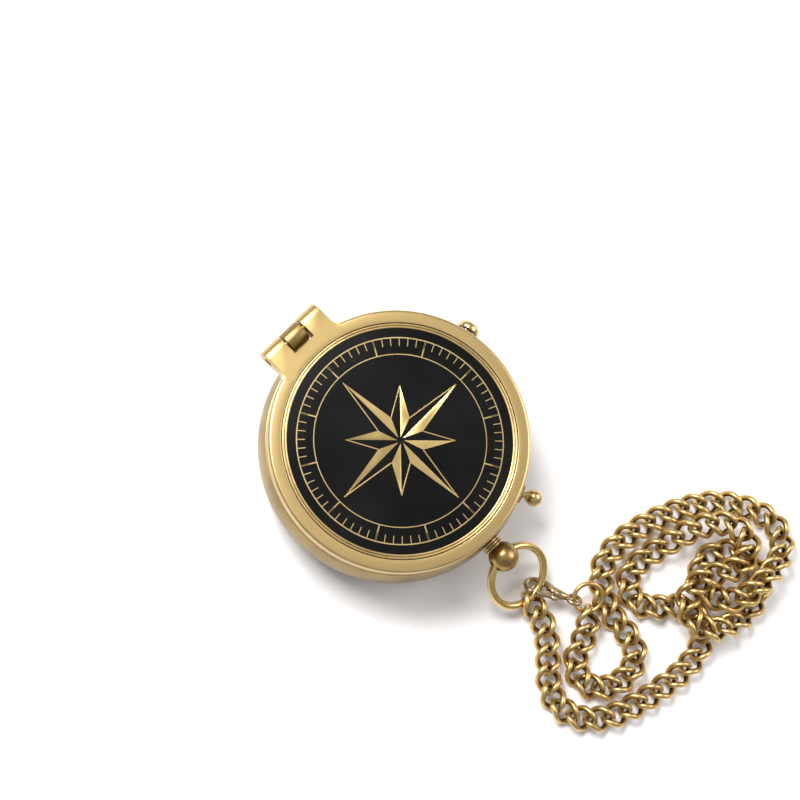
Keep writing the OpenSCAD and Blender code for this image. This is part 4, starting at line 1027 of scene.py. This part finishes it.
# %% Mix the lacquer, enamel and glass
def coat(name, clean, stained, cloud_size, smooth, dull, metallic=0.0, speck_amount=0.0,
         speck_colour=(0, 0, 0)):
    """A painted, lacquered or enamelled finish: a cloud shares out two colours and roughnesses."""
    made, tree, shader = new_material(name)
    shader.inputs["Metallic"].default_value = metallic
    place = object_point(tree)
    cloud = ramp(tree, noise(tree, place, cloud_size, 5), 0.35, 0.7)
    colour = blend_colour(tree, cloud, (*clean, 1), (*stained, 1))
    colour = with_specks(tree, colour, speck_amount, speck_colour)
    tree.links.new(colour, shader.inputs["Base Color"])
    tree.links.new(ramp(tree, cloud, 0.0, 1.0, smooth, dull), shader.inputs["Roughness"])
    fine = noise(tree, place, 2500.0, 2)
    bump = add(tree, "ShaderNodeBump", {"Height": fine, "Strength": 0.4, "Distance": 0.002 * MM})
    tree.links.new(bump.outputs[0], shader.inputs["Normal"])
    return made, tree, shader


lacquer, tree, shader = coat("black_lacquer", (0.004, 0.004, 0.004), (0.008, 0.007, 0.007),
    60, 0.26, 0.36, speck_amount=0.05, speck_colour=(0.09, 0.085, 0.08))
shader.inputs["Specular IOR Level"].default_value = 0.1
enamel = coat("cream_enamel", (0.80, 0.76, 0.64), (0.70, 0.63, 0.47), 90, 0.45, 0.6)[0]
ink = coat("dial_ink", (0.02, 0.02, 0.025), (0.035, 0.03, 0.03), 700, 0.5, 0.6)[0]
ruby = coat("ruby_cup", (0.30, 0.015, 0.04), (0.22, 0.01, 0.03), 900, 0.06, 0.12)[0]
blued, tree, shader = coat("blued_needle", (0.02, 0.045, 0.14), (0.04, 0.035, 0.11),
    260, 0.18, 0.3, metallic=1.0)
north = add(tree, "ShaderNodeSeparateXYZ", {0: object_point(tree)}).outputs[1]
south = maths(tree, "LESS_THAN", north, 0.0)
blue = shader.inputs["Base Color"].links[0].from_socket
tree.links.new(blend_colour(tree, south, blue, (0.62, 0.60, 0.56, 1)), shader.inputs["Base Color"])

clear, tree, shader = new_material("clear_glass")
shader.inputs["Transmission Weight"].default_value = 1.0
shader.inputs["IOR"].default_value = 1.5
shader.inputs["Base Color"].default_value = (0.97, 0.99, 0.98, 1)
smear = ramp(tree, noise(tree, object_point(tree), 120.0, 5), 0.45, 0.75, 0.0, 0.05)
tree.links.new(smear, shader.inputs["Roughness"])
print("finishes:", len(bpy.data.materials))

# %% [markdown]
# ## Which piece wears what, and what it rides on
# Each dressed piece stands for a CAD node, takes its finish and rides on the same body, so that
# it moves with the joints. The two coils get meshes of their own. The CAD nodes that stay as they
# are only get a finish.

# %% Dress the pieces
DRESSED = [
    (case, "case", "case_brass", case_brass, ("case_shell",)),
    (pin, "case", "pin_brass", pin_brass, ("hinge_pin",)),
    (neck, "case", "neck_brass", neck_brass, ("bow_neck",)),
    (release_collar, "case", "collar_brass", collar_brass, ("release_bush",)),
    (brake_collar, "case", "collar_brass", collar_brass, ("brake_bush",)),
    (dial, "case", "dial_enamel", enamel, ("dial",)),
    (scale, "case", "dial_enamel", ink, ()),
    (numbers, "case", "dial_enamel", ink, ()),
    (glass, "case", "dial_glass", clear, ("glass",)),
    (glass_ring, "case", "inner_brass", inner_brass, ("glass_bezel",)),
    (lid, "lid", "lid_brass", lid_brass, ("lid_frame",)),
    (disc, "lid", "black_inlay", lacquer, ("lid_inlay",)),
    (rose, "lid", "bezel_brass", bezel_brass, ()),
    (bezel, "lid", "bezel_brass", bezel_brass, ("lid_bezel",)),
    (knob, "release", "knob_brass", knob_brass, ("release_knob",)),
    (button, "brake", "knob_brass", knob_brass, ("brake_button",)),
    (needle, "needle", "needle_blue", blued, ("needle_blade",)),
    (bow, "bow", "bow_brass", bow_brass, ("bow",)),
    (chain, "chain", "chain_brass", chain_brass,
     ("chain_links_1", "chain_links_2", "chain_links_3", "chain_links_4")),
    (ring, "chain", "chain_brass", chain_brass, ("end_ring",)),
    (clasp, "clasp", "clasp_brass", clasp_brass, ("clasp_body",)),
    (rivet, "clasp", "clasp_brass", clasp_brass, ("clasp_rivet",)),
    (lever, "clasp_gate", "clasp_brass", clasp_brass, ("clasp_lever",)),
    (release_coil, "case", "spring_steel", steel, ("release_spring",)),
    (brake_coil, "case", "spring_steel", steel, ("brake_spring",))]
for piece, body, slot_name, finish, stands_for in DRESSED:
    piece.data.materials.clear()
    piece.data.materials.append(finish)
    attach(piece, body)
    if stands_for:
        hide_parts(*stands_for)

# Each spring gets a mesh of its own. Its fixed end is given by its distance from the axis.
for piece, joint, axes, fixed_end, keep in ((release_coil, "release_push", KNOB, 19.9, 0.2),
                                            (brake_coil, "brake_push", DOME, 26.45, 0.64)):
    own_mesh(piece)

KEPT = [(inner_brass, ("neck_nut", "dial_housing", "pivot_post", "lifter_bracket", "lid_keeper",
                       "needle_hub", "needle_weight")),
        (steel, ("pivot_pin", "lifter_pin", "catch_plate", "lifter_arm", "clasp_spring")),
        (ruby, ("needle_jewel",))]
for finish, names in KEPT:
    for name in names:
        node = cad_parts[name]
        node.data.materials.clear()
        node.data.materials.append(finish)
print(len(DRESSED), "dressed pieces,", sum(len(names) for finish, names in KEPT), "kept nodes,",
      len(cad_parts), "nodes in all")

# %% [markdown]
# ## The chain's length
# The chain's line runs from the bow to the last link, and its far end is the ring with the clasp.
# Its length is printed.

print("chain length", round(float(gone[-1]), 1), "mm")

# %% [markdown]
# ## Floor and light
# The floor is plain and pale, with hardly any pattern. One large soft lamp stands at the hinge
# side, as in the photograph. A small one beside it lights the hinge, a weaker one opposite fills
# the shadows, and a pale grey world gives the metal something quiet to reflect.

# %% Lay the floor and set the lamps
FLOOR_REACH = 3.0
floor_corners = [(x * FLOOR_REACH, y * FLOOR_REACH, 0)
                 for x, y in ((-1, -1), (1, -1), (1, 1), (-1, 1))]
floor_mesh = bpy.data.meshes.new("floor")
floor_mesh.from_pydata(floor_corners, [], [(0, 1, 2, 3)])
floor = add_object("floor", floor_mesh)
pale = coat("pale_floor", (0.93, 0.915, 0.915), (0.90, 0.88, 0.885), 14, 0.6, 0.7)[0]
floor_mesh.materials.append(pale)
floor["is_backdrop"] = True


LAMP_AIM = Vector((0.01, -0.025, 0))


def softbox(name, place, size, watts):
    """A square white lamp that looks at the middle of the scene."""
    data = bpy.data.lights.new(name, "AREA")
    data.shape, data.size, data.energy = "SQUARE", size, watts
    lamp = add_object(name, data)
    lamp.location = place
    lamp.rotation_mode = "QUATERNION"
    lamp.rotation_quaternion = (LAMP_AIM - Vector(place)).to_track_quat("-Z", "Y")


softbox("key", (0.00, 0.34, 0.46), 0.26, 3.7)
softbox("hinge light", (0.07, 0.22, 0.50), 0.12, 0.55)
softbox("fill", (0.42, -0.28, 0.40), 0.40, 1.5)
world = bpy.data.worlds.new("studio")
bpy.context.scene.world = world
world.use_nodes = True
air = world.node_tree
backdrop = air.nodes["Background"]
direction = add(air, "ShaderNodeTexCoord").outputs["Generated"]
up = add(air, "ShaderNodeSeparateXYZ", {0: direction}).outputs[2]
sky = ramp(air, up, -0.1, 0.9, 0.22, 0.52)
seen = add(air, "ShaderNodeLightPath").outputs["Is Camera Ray"]
air.links.new(blend_colour(air, seen, sky, (0.93, 0.92, 0.92, 1)), backdrop.inputs["Color"])
bpy.context.scene.view_settings.view_transform = "Standard"
print("lamps:", [lamp.name for lamp in bpy.data.lights])

# %% [markdown]
# ## The measured size
# The outer size of the dressed model is printed. It should agree with the CAD's.

# %% Measure and finish
low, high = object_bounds()
print("visual box in mm:", [round(v / MM, 1) for v in high - low])
